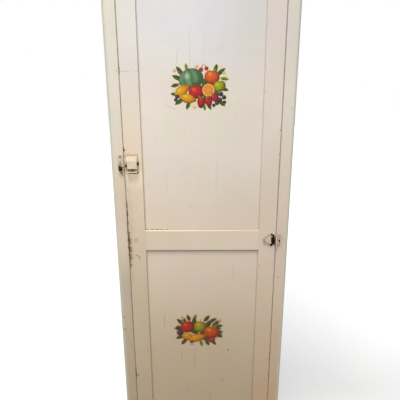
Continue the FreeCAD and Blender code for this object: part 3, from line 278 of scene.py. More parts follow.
def make_crease_shade_and_dirt():
    """Painted shade and dirt in sunk panel corners: a painted shadow under the rail above, faint elsewhere.
    """
    tree, given, wanted = effect("Crease shade and dirt", {"Vector": "Vector", "Left": "Float", "Right": "Float",
                                                 "Bottom": "Float", "Top": "Float"}, {"Mask": "Float"})
    across = part(tree, given["Vector"], "X")
    height = part(tree, given["Vector"], "Z")
    ragged = sums(tree, "MULTIPLY", clouds(tree, given["Vector"], 70.0), 0.0022)
    total = 0.0
    for away, reach, strength in (
            (sums(tree, "SUBTRACT", across, given["Left"]), 0.0018, 0.10),
            (sums(tree, "SUBTRACT", given["Right"], across), 0.0016, 0.22),
            (sums(tree, "SUBTRACT", given["Top"], height), 0.0088, 1.00),
            (sums(tree, "SUBTRACT", height, given["Bottom"]), 0.0010, 0.10)):
        line = ramp(tree, sums(tree, "SUBTRACT", away, ragged), reach, 0.0, 0.0, strength)
        total = sums(tree, "MAXIMUM", line, total)
    tree.links.new(total, wanted["Mask"])
    return tree


def make_line_grime():
    """Handling dirt beside a line at one x, between two heights."""
    tree, given, wanted = effect("Line grime", {"Vector": "Vector", "Line": "Float", "Reach": "Float",
                                                "Bottom": "Float", "Top": "Float", "Fade": "Float"},
                                 {"Mask": "Float"})
    height = part(tree, given["Vector"], "Z")
    wobble = clouds(tree, given["Vector"], 38.0, detail=4.0, rough=0.65)
    away = sums(tree, "ABSOLUTE", sums(tree, "SUBTRACT", part(tree, given["Vector"], "X"), given["Line"]))
    near = sums(tree, "SUBTRACT", 1.0, sums(tree, "DIVIDE", away, given["Reach"]), clamp=True)
    rise = sums(tree, "DIVIDE", sums(tree, "SUBTRACT", height, given["Bottom"]), given["Fade"], clamp=True)
    fall = sums(tree, "DIVIDE", sums(tree, "SUBTRACT", given["Top"], height), given["Fade"], clamp=True)
    area = sums(tree, "MULTIPLY", near, sums(tree, "MULTIPLY", rise, fall))
    tree.links.new(sums(tree, "MULTIPLY", area, ramp(tree, wobble, 0.30, 0.62, 0.35, 1.0)), wanted["Mask"])
    return tree


def make_worn_place():
    """A ragged place round a centre, an oval with full corners: 1 inside its reach, 0 outside."""
    tree, given, wanted = effect("Worn place", {"Vector": "Vector", "Centre": "Vector", "Reach": "Vector",
                                                "Ragged": "Float", "Grain": "Float", "Soft": "Float"},
                                 {"Mask": "Float"})
    moved = away_from(tree, given["Vector"], given["Centre"])
    scaled = put(tree, "VectorMath", {0: moved, 1: given["Reach"]}, operation="DIVIDE").outputs[0]
    away = sums(tree, "SQRT", norm(tree, product(tree, scaled, scaled)))
    rim = sums(tree, "ADD", away, swing(tree, given["Vector"], given["Grain"], given["Ragged"]))
    mask = ramp(tree, rim, sums(tree, "ADD", 1.0, given["Soft"]), sums(tree, "SUBTRACT", 1.0, given["Soft"]))
    tree.links.new(mask, wanted["Mask"])
    return tree


def make_specks():
    """Sparse tiny dark dots, as flies and dust nibs leave them."""
    tree, given, wanted = effect("Specks", {"Vector": "Vector", "Scale": "Float", "Size": "Float",
                                            "Share": "Float"}, {"Mask": "Float"})
    cells = put(tree, "TexVoronoi", {"Vector": given["Vector"], "Scale": given["Scale"]})
    pick = put(tree, "SeparateColor", {0: cells.outputs["Color"]}).outputs
    chosen = sums(tree, "LESS_THAN", pick[0], given["Share"])
    size = sums(tree, "MULTIPLY", given["Size"], sums(tree, "ADD", 0.4, pick[1]))
    dot = sums(tree, "LESS_THAN", cells.outputs["Distance"], size)
    tree.links.new(sums(tree, "MULTIPLY", chosen, dot), wanted["Mask"])
    return tree


def make_pine_grain():
    """Long uneven grain lines of sawn pine."""
    tree, given, wanted = effect("Pine grain", {"Vector": "Vector", "Run": "Vector"},
                                 {"Grain": "Float", "Height": "Float"})
    along = product(tree, given["Vector"], given["Run"])
    bend = clouds(tree, along, 0.35, detail=2.0)
    rings = clouds(tree, along, 1.0, detail=6.0, rough=0.62, warp=0.8)
    bent = sums(tree, "ADD", rings, sums(tree, "MULTIPLY", bend, 0.35))
    tree.links.new(ramp(tree, bent, 0.42, 0.92), wanted["Grain"])
    tree.links.new(rings, wanted["Height"])
    return tree


STROKES = make_brush_strokes()
OLD_PAINT_AND_LOW_SHADE = make_old_paint_and_low_shade()
PAINTED_SIDE_SHADING = make_painted_side_shading()
HEIGHT_BAND = make_height_band()
OUTER_EDGE = make_outer_edge()
ARRIS_WEAR = make_arris_wear()
LEDGE_DUST_AND_SHADE = make_ledge_dust_and_shade()
CREASE_SHADE_AND_DIRT = make_crease_shade_and_dirt()
LINE_GRIME = make_line_grime()
WORN_PLACE = make_worn_place()
SPECKS = make_specks()
PINE_GRAIN = make_pine_grain()


# ---------------------------------------------------------------- finishes

UP = (150.0, 150.0, 2.2)                # brush strokes that run up the piece
ACROSS = (2.2, 150.0, 150.0)            # brush strokes that run across it
BACKWARDS = (150.0, 2.2, 150.0)         # brush strokes that run from front to back
GRAIN_UP = (70.0, 70.0, 1.6)            # pine grain that runs up the board
GRAIN_ACROSS = (1.6, 70.0, 70.0)        # pine grain that runs across it
CHIP_GRAIN = (420.0, 420.0, 160.0)      # grain of the bare wood in chips
# the low tone is darker towards the floor and is partly painted shade
CREAM = (shade(226, 216, 203), shade(226, 207, 188), shade(196, 171, 138))    # high, middle and low tone
STROKE_SHADOW = shade(198, 180, 156)
STROKE_DEPTH = 0.08
GRIME = shade(120, 96, 68)
DUSTY_LEDGE_SHADE = shade(184, 166, 148)
CORNER_SHADE_AND_DIRT = shade(108, 92, 80)
GREYED_CORNER = shade(196, 202, 178)
LATER_COAT = shade(205, 190, 160)
SPECK_BROWN = shade(110, 84, 58)
WORN_BROWN = shade(128, 98, 68)
OLD_WOOD = shade(96, 66, 40)
ENAMEL_ARRIS = 0.0011                   # radius of painted wooden arrises
METAL_ARRIS = 0.0006                    # radius of painted metal arrises


def new_material(name):
    """An empty material; returns it with its nodes, its shader and the places that patterns are laid by."""
    material = bpy.data.materials.new(name)
    material.use_nodes = True
    tree = material.node_tree
    tree.nodes.clear()
    shader = put(tree, "BsdfPrincipled")
    put(tree, "OutputMaterial", {"Surface": shader.outputs[0]})
    return material, tree, shader, put(tree, "TexCoord").outputs


def cream_with_low_shade(tree, here, tones, levels):
    """Cream in high, middle and low tones meeting at three levels, the low one partly painted shade."""
    high, middle, low = tones
    low_level, middle_level, high_level = levels
    return use(tree, OLD_PAINT_AND_LOW_SHADE, Vector=here, High=high, Middle=middle, Low=low, Low_Level=low_level,
               Middle_Level=middle_level, High_Level=high_level)["Color"]


def shaded_sides(latch_side=1.0, hinge_side=1.0, top=(1.0, 1.0, 1.0)):
    """How much lighter the latch side and darker the hinge side are painted, and the painted tint at the
    top.
    """
    return {"Latch_Side": latch_side, "Hinge_Side": hinge_side, "Top": top}


def lap_line(tree, here, colour, level):
    """The wavering line where one coat ended, with a trace of the next coat above it."""
    waver = swing(tree, here, 60.0, 0.002, detail=4.0)
    above = sums(tree, "SUBTRACT", sums(tree, "ADD", part(tree, here, "Z"), waver), level)
    broken = ramp(tree, clouds(tree, here, 55.0), 0.42, 0.60)
    edge = ramp(tree, sums(tree, "ABSOLUTE", above), 0.0014, 0.0004, 0.0, 0.36)
    colour = blend(tree, sums(tree, "MULTIPLY", edge, broken), colour, GRIME)
    return blend(tree, ramp(tree, above, 0.0, 0.0006, 0.0, 0.10), colour, LATER_COAT)


def make_enamel(name, run, wear, tones=CREAM, levels=(0.30, 1.02, 1.50), specks=0.03, grime_lines=(),
                crease=None, lap=None, outer_edge=False, side_shading=None, belts=(), lit_patch=None):
    """Old gloss enamel. grime_lines holds (x, reach, bottom, top, strength), crease the sides of the panel
    with painted shade and dirt in its corners, lap the height of a line where one coat ended. outer_edge
    greys the case's rounded corners. side_shading comes from shaded_sides. belts holds (height, half height,
    tint) of bands made lighter or darker, lit_patch the centre, reach and tint of a painted pool of light."""
    material, tree, shader, place = new_material(name)
    here = place["Object"]
    brush = use(tree, STROKES, Vector=here, Run=run)
    colour = cream_with_low_shade(tree, here, tones, levels)
    # painted light and shade by side, and a painted tint of the light at the top
    if side_shading:
        colour = use(tree, PAINTED_SIDE_SHADING, Vector=here, Color=colour, **side_shading)["Color"]
    # bands made lighter or darker by a tint
    for middle, half, tint in belts:
        band = use(tree, HEIGHT_BAND, Vector=here, Middle=middle, Half=half)["Mask"]
        colour = blend(tree, band, colour, product(tree, colour, tint))
    # a painted pool of light that lightens a shadow cast on the paint
    if lit_patch:
        centre, reach, tint = lit_patch
        lit_place = use(tree, WORN_PLACE, Vector=here, Centre=centre, Reach=reach, Ragged=0.40, Grain=60.0,
                    Soft=0.6)
        colour = blend(tree, lit_place["Mask"], colour, product(tree, colour, tint))
    colour = blend(tree, sums(tree, "MULTIPLY", brush["Streak"], STROKE_DEPTH), colour, STROKE_SHADOW)
    for line, reach, bottom, top, strength in grime_lines:
        dirt = use(tree, LINE_GRIME, Vector=here, Line=line, Reach=reach, Bottom=bottom, Top=top, Fade=0.12)
        colour = blend(tree, sums(tree, "MULTIPLY", dirt["Mask"], strength), colour, GRIME)
    # painted shade and dirt in the panel's corners, widest as a painted shadow under the rail above
    if crease:
        colour = blend(tree, use(tree, CREASE_SHADE_AND_DIRT, Vector=here, **crease)["Mask"], colour, CORNER_SHADE_AND_DIRT)
    if outer_edge:
        greyed = use(tree, OUTER_EDGE, Vector=here,
                     Begin=CASE_EDGE - 0.0125, Full=CASE_EDGE - 0.0030)["Mask"]
        colour = blend(tree, sums(tree, "MULTIPLY", greyed, 0.55), colour, GREYED_CORNER)
    if lap:
        colour = lap_line(tree, here, colour, lap)
    spots = use(tree, SPECKS, Vector=here, Scale=42.0, Size=0.040, Share=specks)["Mask"]
    colour = blend(tree, sums(tree, "MULTIPLY", spots, 0.5), colour, SPECK_BROWN)
    worn = use(tree, ARRIS_WEAR, Vector=here, Width=0.0016, Amount=wear, Scale=46.0)["Mask"]
    colour = blend(tree, worn, colour, WORN_BROWN)
    # dust and painted shade on upward faces, against the strong light from above
    ledge_dust_and_shade = use(tree, LEDGE_DUST_AND_SHADE, Begin=0.35, Full=0.90, Amount=0.36)["Mask"]
    tree.links.new(blend(tree, ledge_dust_and_shade, colour, DUSTY_LEDGE_SHADE), shader.inputs["Base Color"])
    tree.links.new(sums(tree, "ADD", sums(tree, "MULTIPLY", worn, 0.35), 0.29), shader.inputs["Roughness"])
    raise_surface(tree, shader, brush["Height"], 0.12, 0.0004, ENAMEL_ARRIS)
    return material


def make_inside_paint(name, run):
    """One thin coat on the shelves and cleats, worn through along the front edges."""
    material, tree, shader, place = new_material(name)
    here = place["Object"]
    brush = use(tree, STROKES, Vector=here, Run=run)
    streak = sums(tree, "MULTIPLY", brush["Streak"], 0.45)
    colour = blend(tree, streak, shade(214, 200, 176), shade(184, 162, 128))
    stain = clouds(tree, here, 7.0, detail=5.0, rough=0.6, warp=0.6)
    colour = blend(tree, ramp(tree, stain, 0.52, 0.70, 0.0, 0.35), colour, shade(150, 122, 84))
    worn = use(tree, ARRIS_WEAR, Vector=here, Width=0.003, Amount=0.55, Scale=30.0)["Mask"]
    tree.links.new(blend(tree, worn, colour, OLD_WOOD), shader.inputs["Base Color"])
    tree.links.new(ramp(tree, stain, 0.3, 0.7, 0.48, 0.66), shader.inputs["Roughness"])
    raise_surface(tree, shader, brush["Height"], 0.35, 0.0007)
    return material


def make_bare_pine(name, run, painted_side=False):
    """Unpainted pine gone brown with age; painted_side gives the side that faces the shelves a thin coat."""
    material, tree, shader, place = new_material(name)
    here = place["Object"]
    wood = use(tree, PINE_GRAIN, Vector=here, Run=run)
    colour = blend(tree, wood["Grain"], shade(176, 132, 84), shade(112, 72, 38))
    water = clouds(tree, here, 3.2, detail=4.0, rough=0.6, warp=0.5)
    colour = blend(tree, ramp(tree, water, 0.50, 0.72, 0.0, 0.45), colour, shade(92, 66, 44))
    if painted_side:
        streak = sums(tree, "MULTIPLY", use(tree, STROKES, Vector=here, Run=UP)["Streak"], 0.4)
        coat = blend(tree, streak, shade(212, 198, 174), shade(186, 165, 132))
        forward = sums(tree, "LESS_THAN", part(tree, place["Normal"], "Y"), -0.5)
        colour = blend(tree, forward, colour, coat)
    tree.links.new(colour, shader.inputs["Base Color"])
    tree.links.new(ramp(tree, wood["Grain"], 0.0, 1.0, 0.62, 0.80), shader.inputs["Roughness"])
    raise_surface(tree, shader, wood["Height"], 0.4, 0.0008)
    return material


def make_steel(name):
    """Dull wire and nail steel with a little rust."""
    material, tree, shader, place = new_material(name)
    rust = clouds(tree, place["Object"], 260.0, detail=5.0, rough=0.65)
    colour = blend(tree, ramp(tree, rust, 0.42, 0.62), shade(96, 90, 84), shade(92, 54, 30))
    tree.links.new(colour, shader.inputs["Base Color"])
    tree.links.new(ramp(tree, rust, 0.42, 0.62, 0.85, 0.15), shader.inputs["Metallic"])
    tree.links.new(ramp(tree, rust, 0.35, 0.65, 0.38, 0.75), shader.inputs["Roughness"])
    raise_surface(tree, shader, rust, 0.3, 0.0002)
    return material


def make_painted_hardware(name, tones, metal, worn_and_shaded_spots=(), wear=0.42):
    """Steel fittings painted over with the cupboard. metal holds the two browns of what shows in worn
    places, worn_and_shaded_spots the (centre, reach, strength) of each such place or line of painted shade."""
    material, tree, shader, place = new_material(name)
    here = place["Object"]
    colour = cream_with_low_shade(tree, here, tones, (0.42, 1.10, 1.40))
    smear = clouds(tree, here, 130.0, detail=4.0, rough=0.6)
    colour = blend(tree, ramp(tree, smear, 0.50, 0.72, 0.0, 0.25), colour, shade(160, 136, 104))
    # dust and painted shade on upward faces, against the strong light from above
    ledge_dust_and_shade = use(tree, LEDGE_DUST_AND_SHADE, Begin=0.25, Full=0.75, Amount=0.38)["Mask"]
    colour = blend(tree, ledge_dust_and_shade, colour, shade(150, 132, 108))
    # worn places, and on the latch lines of painted shade, both in the browns of the steel
    bare = use(tree, ARRIS_WEAR, Vector=here, Width=0.0009, Amount=wear, Scale=240.0)["Mask"]
    for centre, reach, strength in worn_and_shaded_spots:
        spot = use(tree, WORN_PLACE, Vector=here, Centre=centre, Reach=reach, Ragged=1.0, Grain=420.0,
                   Soft=0.08)
        bare = sums(tree, "MAXIMUM", bare, sums(tree, "MULTIPLY", spot["Mask"], strength))
    browned = blend(tree, ramp(tree, clouds(tree, here, 520.0), 0.45, 0.66), *metal)
    tree.links.new(blend(tree, bare, colour, browned), shader.inputs["Base Color"])
    shader.inputs["Specular IOR Level"].default_value = 0.08
    tree.links.new(sums(tree, "MULTIPLY", bare, 0.10), shader.inputs["Metallic"])
    tree.links.new(ramp(tree, bare, 0.0, 1.0, 0.32, 0.66), shader.inputs["Roughness"])
    lumps = sums(tree, "SUBTRACT", smear, sums(tree, "MULTIPLY", bare, 0.8))
    raise_surface(tree, shader, lumps, 0.35, 0.0004, METAL_ARRIS)
    return material


def make_flat_finish(name, inner, outer, grain=300.0, roughness=0.7, run=None):
    """Uneven colour for a small patch: bare wood, old undercoat, dried dirt or a stain. grain is how fine
    its mottling is; run, where given, draws the mottling out along the grain of wood."""
    material, tree, shader, place = new_material(name)
    if run:
        mottle = clouds(tree, product(tree, place["Object"], run), 1.0, detail=4.0, rough=0.65)
    else:
        mottle = clouds(tree, place["Object"], grain, detail=4.0, rough=0.65)
    tree.links.new(blend(tree, ramp(tree, mottle, 0.38, 0.62), inner, outer), shader.inputs["Base Color"])
    tree.links.new(ramp(tree, mottle, 0.3, 0.7, roughness, roughness + 0.15), shader.inputs["Roughness"])
    shader.inputs["Specular IOR Level"].default_value = 0.15
    raise_surface(tree, shader, mottle, 0.4, 0.0003)
    return material


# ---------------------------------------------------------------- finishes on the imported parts

def finish(material, *names):
    """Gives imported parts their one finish."""
    for name in names:
        nodes[name].data.materials.clear()
        nodes[name].data.materials.append(material)


# the high, middle and low tone of each run of paint, the darker low tones partly painted shade
PANEL_TONES = (shade(227, 215, 200), shade(223, 203, 182), shade(181, 157, 125))
RAIL_TONES = (shade(216, 210, 204), shade(222, 202, 180), shade(177, 154, 119))
LATCH_SIDE_TONES = (shade(223, 211, 202), shade(231, 210, 182), shade(176, 154, 123))
LEFT_FRAME_TONES = (shade(223, 212, 196), shade(218, 199, 175), shade(166, 145, 114))
HINGE_SIDE_TONES = (shade(223, 210, 198), shade(216, 196, 175), shade(185, 154, 118))
WORN_SCREW_TONES = (shade(150, 138, 124), shade(146, 134, 118), shade(130, 114, 94))

# bands of a run made lighter or darker by a tint: (height, half height, tint)
LATCH_SIDE_BELTS = [(0.90, 0.32, (0.920, 0.910, 0.900)), (0.54, 0.23, (1.13, 1.15, 1.19)),
                    (1.25, 0.12, (1.03, 1.03, 1.00))]
LEFT_FRAME_BELTS = [(0.79, 0.09, (0.88, 0.90, 0.92)), (0.50, 0.24, (1.16, 1.17, 1.19)),
                    (1.16, 0.14, (1.08, 1.08, 1.08)), (0.93, 0.07, (1.05, 1.04, 1.06)),
                    (1.48, 0.12, (0.97, 0.97, 0.96))]
RIGHT_FRAME_BELTS = [(0.93, 0.12, (0.955, 0.945, 0.955)), (1.24, 0.09, (0.98, 0.98, 0.94))]

# grime beside the door's gaps: (x, reach, bottom, top, strength)
LATCH_GAP_LINE = (-GAP, 0.0025, 0.0, 1.8, 0.30)
HINGE_GAP_LINE = (GAP, 0.003, 0.0, 1.8, 0.35)
LATCH_HANDLING = (-GAP, 0.022, 0.76, 1.22, 0.30)
FRAME_HANDLING = (-GAP, 0.014, 0.30, 1.24, 0.12)
HINGE_HANDLING = (GAP, 0.020, 0.86, 0.99, 0.25)
# painted light below the latch, lightening the shadow that the latch casts
PAINTED_LIGHT_UNDER_LATCH = ((-0.1855, FRONT, 1.103), (0.022, 0.03, 0.021), (1.26, 1.26, 1.29))    # centre, reach, tint
COAT_END = 1.3826      # height at which one coat on the latch stile ended

# side_shading paints light from the left: the latch side lighter, the hinge side darker, the top tinted
finish(make_enamel("upper panel enamel", UP, tones=PANEL_TONES, levels=(0.30, 0.98, 1.19), wear=0.0,
                   crease=UPPER_PANEL, side_shading=shaded_sides(1.035, 0.960, (0.866, 0.902, 1.00))),
       "upper_door_panel")
finish(make_enamel("lower panel enamel", UP, tones=PANEL_TONES, levels=(0.30, 1.02, 1.26), wear=0.0,
                   specks=0.05, crease=LOWER_PANEL, side_shading=shaded_sides(1.02, 0.97)),
       "lower_door_panel")
finish(make_enamel("latch stile enamel", UP, tones=LATCH_SIDE_TONES, levels=(0.42, 1.12, 1.40), wear=0.45,
                   specks=0.05, lap=COAT_END, grime_lines=(LATCH_HANDLING, LATCH_GAP_LINE),
                   side_shading=shaded_sides(top=(1.0, 1.05, 1.09)), belts=LATCH_SIDE_BELTS, lit_patch=PAINTED_LIGHT_UNDER_LATCH),
       "door_left_stile")
finish(make_enamel("hinge stile enamel", UP, tones=HINGE_SIDE_TONES, levels=(0.30, 1.02, 1.30), wear=0.38,
                   specks=0.05, grime_lines=(HINGE_GAP_LINE, HINGE_HANDLING),
                   side_shading=shaded_sides(top=(0.92, 0.91, 0.93))),
       "door_right_stile")
finish(make_enamel("left frame enamel", UP, tones=LEFT_FRAME_TONES, levels=(0.42, 1.06, 1.30), wear=0.45,
                   specks=0.05, outer_edge=True, grime_lines=(FRAME_HANDLING, LATCH_GAP_LINE),
                   belts=LEFT_FRAME_BELTS),
       "left_frame_stile")
finish(make_enamel("right frame enamel", UP, tones=HINGE_SIDE_TONES, levels=(0.30, 1.02, 1.30), wear=0.40,
                   specks=0.05, outer_edge=True, grime_lines=(HINGE_GAP_LINE,), belts=RIGHT_FRAME_BELTS,
                   side_shading=shaded_sides(top=(0.92, 0.92, 0.93))),
       "right_frame_stile")
finish(make_enamel("rail enamel", ACROSS, tones=RAIL_TONES, wear=0.40),
       "door_bottom_rail", "door_middle_rail", "door_top_rail", "frame_bottom_rail", "frame_top_rail")
finish(make_enamel("case enamel", UP, wear=0.42, specks=0.05),
       "left_side_panel", "right_side_panel", "carcass_nails")
finish(make_enamel("top board enamel", ACROSS, wear=0.45, specks=0.08),
       "top_board", "cornice_front", "cornice_left", "cornice_right")

finish(make_inside_paint("shelf paint", ACROSS), "bottom_board", *[f"shelf_{n}" for n in range(1, 5)])
finish(make_inside_paint("cleat paint", BACKWARDS),
       *[f"shelf_cleat_{side}_{n}" for side in ("left", "right") for n in range(1, 5)])
finish(make_bare_pine("back board pine", GRAIN_UP, painted_side=True),
       *[f"back_board_{n}" for n in range(1, 6)])
finish(make_bare_pine("batten pine", GRAIN_ACROSS), "back_batten")
finish(make_bare_pine("door stop pine", GRAIN_UP), "door_stop")
steel = make_steel("dull steel")
finish(steel, "back_nails")

# the two browns of the steel that shows in worn places
HINGE_METAL = (shade(24, 12, 2), shade(46, 30, 11))
LATCH_METAL = (shade(44, 27, 9), shade(84, 60, 33))
WEAR_DEPTH = 0.02      # reach of a worn place from front to back, past the thickness of any fitting
HINGE_FACE = -0.182    # depth at which a hinge's worn places lie
# worn places on a hinge, measured from its middle: (x, rise, half width, half height, strength)
NECK_WEAR = [(0.1993, 0.0010, 0.0060, 0.0108, 1.0), (0.2034, -0.0085, 0.0024, 0.0052, 1.0),
             (0.2032, 0.0085, 0.0020, 0.0060, 1.0), (0.1985, -0.0088, 0.0040, 0.0044, 1.0)]
WING_WEAR = [(0.1938, 0.0182, 0.0028, 0.0022, 1.0), (0.1972, 0.0160, 0.0032, 0.0030, 1.0),
             (0.2004, 0.0130, 0.0030, 0.0036, 1.0), (0.1940, -0.0136, 0.0044, 0.0030, 1.0),
             (0.1742, -0.0010, 0.0034, 0.0042, 0.45), (0.1738, 0.0036, 0.0030, 0.0017, 0.45),
             (0.1790, 0.0088, 0.0036, 0.0017, 0.45), (0.1850, 0.0138, 0.0036, 0.0017, 0.50),
             (0.1785, -0.0066, 0.0044, 0.0020, 0.55), (0.1858, -0.0104, 0.0040, 0.0020, 0.60)]
LEAF_WEAR = [(0.2170, -0.0015, 0.0020, 0.0036, 1.0), (0.2148, 0.0165, 0.0015, 0.0016, 0.8),
             (0.2180, 0.0095, 0.0010, 0.0050, 0.45), (0.2180, -0.0085, 0.0010, 0.0040, 0.55),
             (0.2140, -0.0128, 0.0056, 0.0012, 0.60), (0.2120, 0.0080, 0.0008, 0.0030, 0.35)]
LESS_WING_WEAR = WING_WEAR[2:7]     # the top and the bottom hinge are less handled
LESS_LEAF_WEAR = LEAF_WEAR[1:4]


def worn_hinge(name, places, height, wear=0.42):
    """The finish of one fitting of the hinge at a height, with its worn places."""
    spots = [((x, HINGE_FACE, height + rise), (half_width, WEAR_DEPTH, half_height), strength)
             for x, rise, half_width, half_height, strength in places]
    return make_painted_hardware(name, HINGE_SIDE_TONES, HINGE_METAL, spots, wear)


for where in ("top", "middle", "bottom"):
    pin_low, pin_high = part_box(f"hinge_pin_{where}")
    height = (pin_low[2] + pin_high[2]) / 2
    wing_wear = NECK_WEAR + (WING_WEAR if where == "middle" else LESS_WING_WEAR)
    leaf_wear = NECK_WEAR + (LEAF_WEAR if where == "middle" else LESS_LEAF_WEAR)
    finish(worn_hinge(f"{where} door leaf finish", wing_wear, height), f"hinge_door_leaf_{where}")
    finish(worn_hinge(f"{where} frame leaf finish", leaf_wear, height), f"hinge_frame_leaf_{where}")
    finish(worn_hinge(f"{where} hinge pin finish", NECK_WEAR, height, wear=0.6), f"hinge_pin_{where}")
finish(worn_hinge("door leaf screw finish", NECK_WEAR + WING_WEAR, DOOR_MIDDLE), "hinge_door_screws")
finish(worn_hinge("frame leaf screw finish", LEAF_WEAR, DOOR_MIDDLE), "hinge_frame_screws")

# places on the latch where lifting and dropping the bar has taken the paint off, and lines of painted
# shade: (centre, reach, strength)
RIGHT_SLOT = ((-0.1692, -0.185, 1.1466), (0.0022, WEAR_DEPTH, 0.0052), 1.0)
LEFT_SLOT = ((-0.2012, -0.186, 1.1432), (0.0036, WEAR_DEPTH, 0.0100), 1.0)
# the bar in the window is partly worn bare and partly painted shade; the window's rim is painted shade
BAR_WEAR_AND_SHADE_IN_WINDOW = ((-0.1845, -0.186, 1.1318), (0.0150, WEAR_DEPTH, 0.0034), 0.80)
WINDOW_RIM_SHADE = ((-0.1845, -0.186, 1.1328), (0.0135, WEAR_DEPTH, 0.0026), 0.70)
BAR_ARM = ((-0.2064, -0.186, 1.1376), (0.0052, WEAR_DEPTH, 0.0036), 0.75)
# painted shade along the edges of the plate and case: below, beside and above them
UNDER_SHADE_LINE = ((-0.1843, -0.181, 1.1203), (0.0135, WEAR_DEPTH, 0.0013), 0.90)
UNDER_SHADE_LEFT = ((-0.1978, -0.181, 1.1222), (0.0016, WEAR_DEPTH, 0.0022), 0.70)
UNDER_SHADE_RIGHT = ((-0.1706, -0.181, 1.1225), (0.0014, WEAR_DEPTH, 0.0030), 0.80)
RIGHT_SHADE_LINE = ((-0.1702, -0.181, 1.1330), (0.0008, WEAR_DEPTH, 0.0110), 0.35)
LEFT_SHADE_LINE = ((-0.2003, -0.181, 1.1630), (0.0008, WEAR_DEPTH, 0.0110), 0.35)
TOP_SHADE_LINE = ((-0.1840, -0.181, 1.1695), (0.0135, WEAR_DEPTH, 0.0013), 0.45)
HOOK = ((-0.2172, -0.186, 1.1345), (0.0054, WEAR_DEPTH, 0.0084), 1.0)
HOOK_TAIL = ((-0.2136, -0.186, 1.1215), (0.0036, WEAR_DEPTH, 0.0050), 0.50)
HOOK_TIP = ((-0.2140, -0.186, 1.1158), (0.0016, WEAR_DEPTH, 0.0036), 0.45)
STRIKE_STREAK = ((-0.2164, -0.181, 1.1470), (0.0026, WEAR_DEPTH, 0.0075), 0.42)

finish(make_painted_hardware("latch plate finish", LATCH_SIDE_TONES, LATCH_METAL,
                             [RIGHT_SLOT, LEFT_SLOT, UNDER_SHADE_LINE, UNDER_SHADE_LEFT, UNDER_SHADE_RIGHT, RIGHT_SHADE_LINE,
                              LEFT_SHADE_LINE, TOP_SHADE_LINE], wear=0.50), "latch_base_plate")
finish(make_painted_hardware("latch case finish", LATCH_SIDE_TONES, LATCH_METAL,
                             [RIGHT_SLOT, LEFT_SLOT, WINDOW_RIM_SHADE], wear=0.36), "latch_case")
finish(make_painted_hardware("latch bar finish", LATCH_SIDE_TONES, LATCH_METAL,
                             [BAR_WEAR_AND_SHADE_IN_WINDOW, LEFT_SLOT, BAR_ARM, HOOK, RIGHT_SLOT], wear=0.60), "latch_lever")
finish(make_painted_hardware("strike finish", LEFT_FRAME_TONES, LATCH_METAL,
                             [HOOK, HOOK_TAIL, HOOK_TIP, STRIKE_STREAK], wear=0.34), "latch_strike")
finish(make_painted_hardware("worn screw heads", WORN_SCREW_TONES, HINGE_METAL, wear=0.5), "strike_screws")
finish(make_painted_hardware("latch screw finish", LATCH_SIDE_TONES, HINGE_METAL),
       "latch_screws", "latch_pivot")


# ---------------------------------------------------------------- shaping

STOOD_UP = (math.pi / 2, 0.0, 0.0)      # turn that stands a flat primitive up to face the front


def select_parts(mesh, kind, test):
    """Selects the corners, lines or faces of a mesh in edit mode that pass a test, and what lies wholly
    between them. kind is VERT, EDGE or FACE."""
    bpy.ops.mesh.select_all(action="DESELECT")
    shape = bmesh.from_edit_mesh(mesh)
    shape.select_mode = {kind}
    for element in {"VERT": shape.verts, "EDGE": shape.edges, "FACE": shape.faces}[kind]:
        element.select = test(element)
    shape.select_flush_mode()
    bmesh.update_edit_mesh(mesh)


def select_only(pieces):
    """Selects these pieces alone and makes the first the active one."""
    bpy.ops.object.select_all(action="DESELECT")
    for piece in pieces:
        piece.select_set(True)
    bpy.context.view_layer.objects.active = pieces[0]


def take_up(piece, name, material=None):
    """Names a piece, writes its place and turn into its mesh and gives it its finish."""
    select_only([piece])
    bpy.ops.object.transform_apply(location=True, rotation=True, scale=True)
    piece.name = piece.data.name = name
    if material:
        piece.data.materials.clear()
        piece.data.materials.append(material)
    return piece


def gather(pieces, name, body):
    """Joins small pieces of one kind into one, which rides on its body."""
    select_only(pieces)
    bpy.ops.object.join()
    whole = take_up(bpy.context.object, name)
    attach(whole, body)
    return whole


# ---------------------------------------------------------------- paint lost along the edges

chip_wood = make_flat_finish("bare wood in chips", shade(112, 82, 48), shade(196, 164, 112), run=CHIP_GRAIN)
chip_dark = make_flat_finish("dark dirt in chips", shade(44, 30, 20), shade(92, 64, 42))
chip_tan = make_flat_finish("worn coats in chips", shade(118, 95, 66), shade(176, 152, 118), grain=420.0)
old_coat = make_flat_finish("older coat in chips", shade(176, 146, 98), shade(206, 184, 144), roughness=0.5)

LOSS_ROW = 0.0016       # height of one row of faces in an edge loss
LOSS_ROUND = 0.0011     # how far from the arris an edge loss starts to turn round it
LEFT_SHARE = 1.5        # how much wider a loss is left of its arris than right of it, before it is folded
HAIR = 1e-6             # nearer to the arris than this counts as on it


def loss_rows(dice, heights, reach, share):
    """The height and width of each row of an edge loss, and whether it is broken there. It narrows to
    nothing at its two ends."""
    low, high = heights[0], heights[-1]
    phase = dice.random() * 100
    rows = []
    for height in heights:
        along = (height - low) / (high - low)
        swell = math.sin(math.pi * along) ** 0.5 if 0 < along < 1 else 0.0
        # a long and a short wave thin the loss in places
        slow = 0.5 + 0.5 * math.sin(phase + height * 160) * math.sin(phase * 1.7 + height * 410)
        width = reach * swell * (0.15 + 1.1 * slow * dice.uniform(0.35, 1.0))
        gap = slow * swell < 1.0 - share
        rows.append((height, width, gap))
    return rows


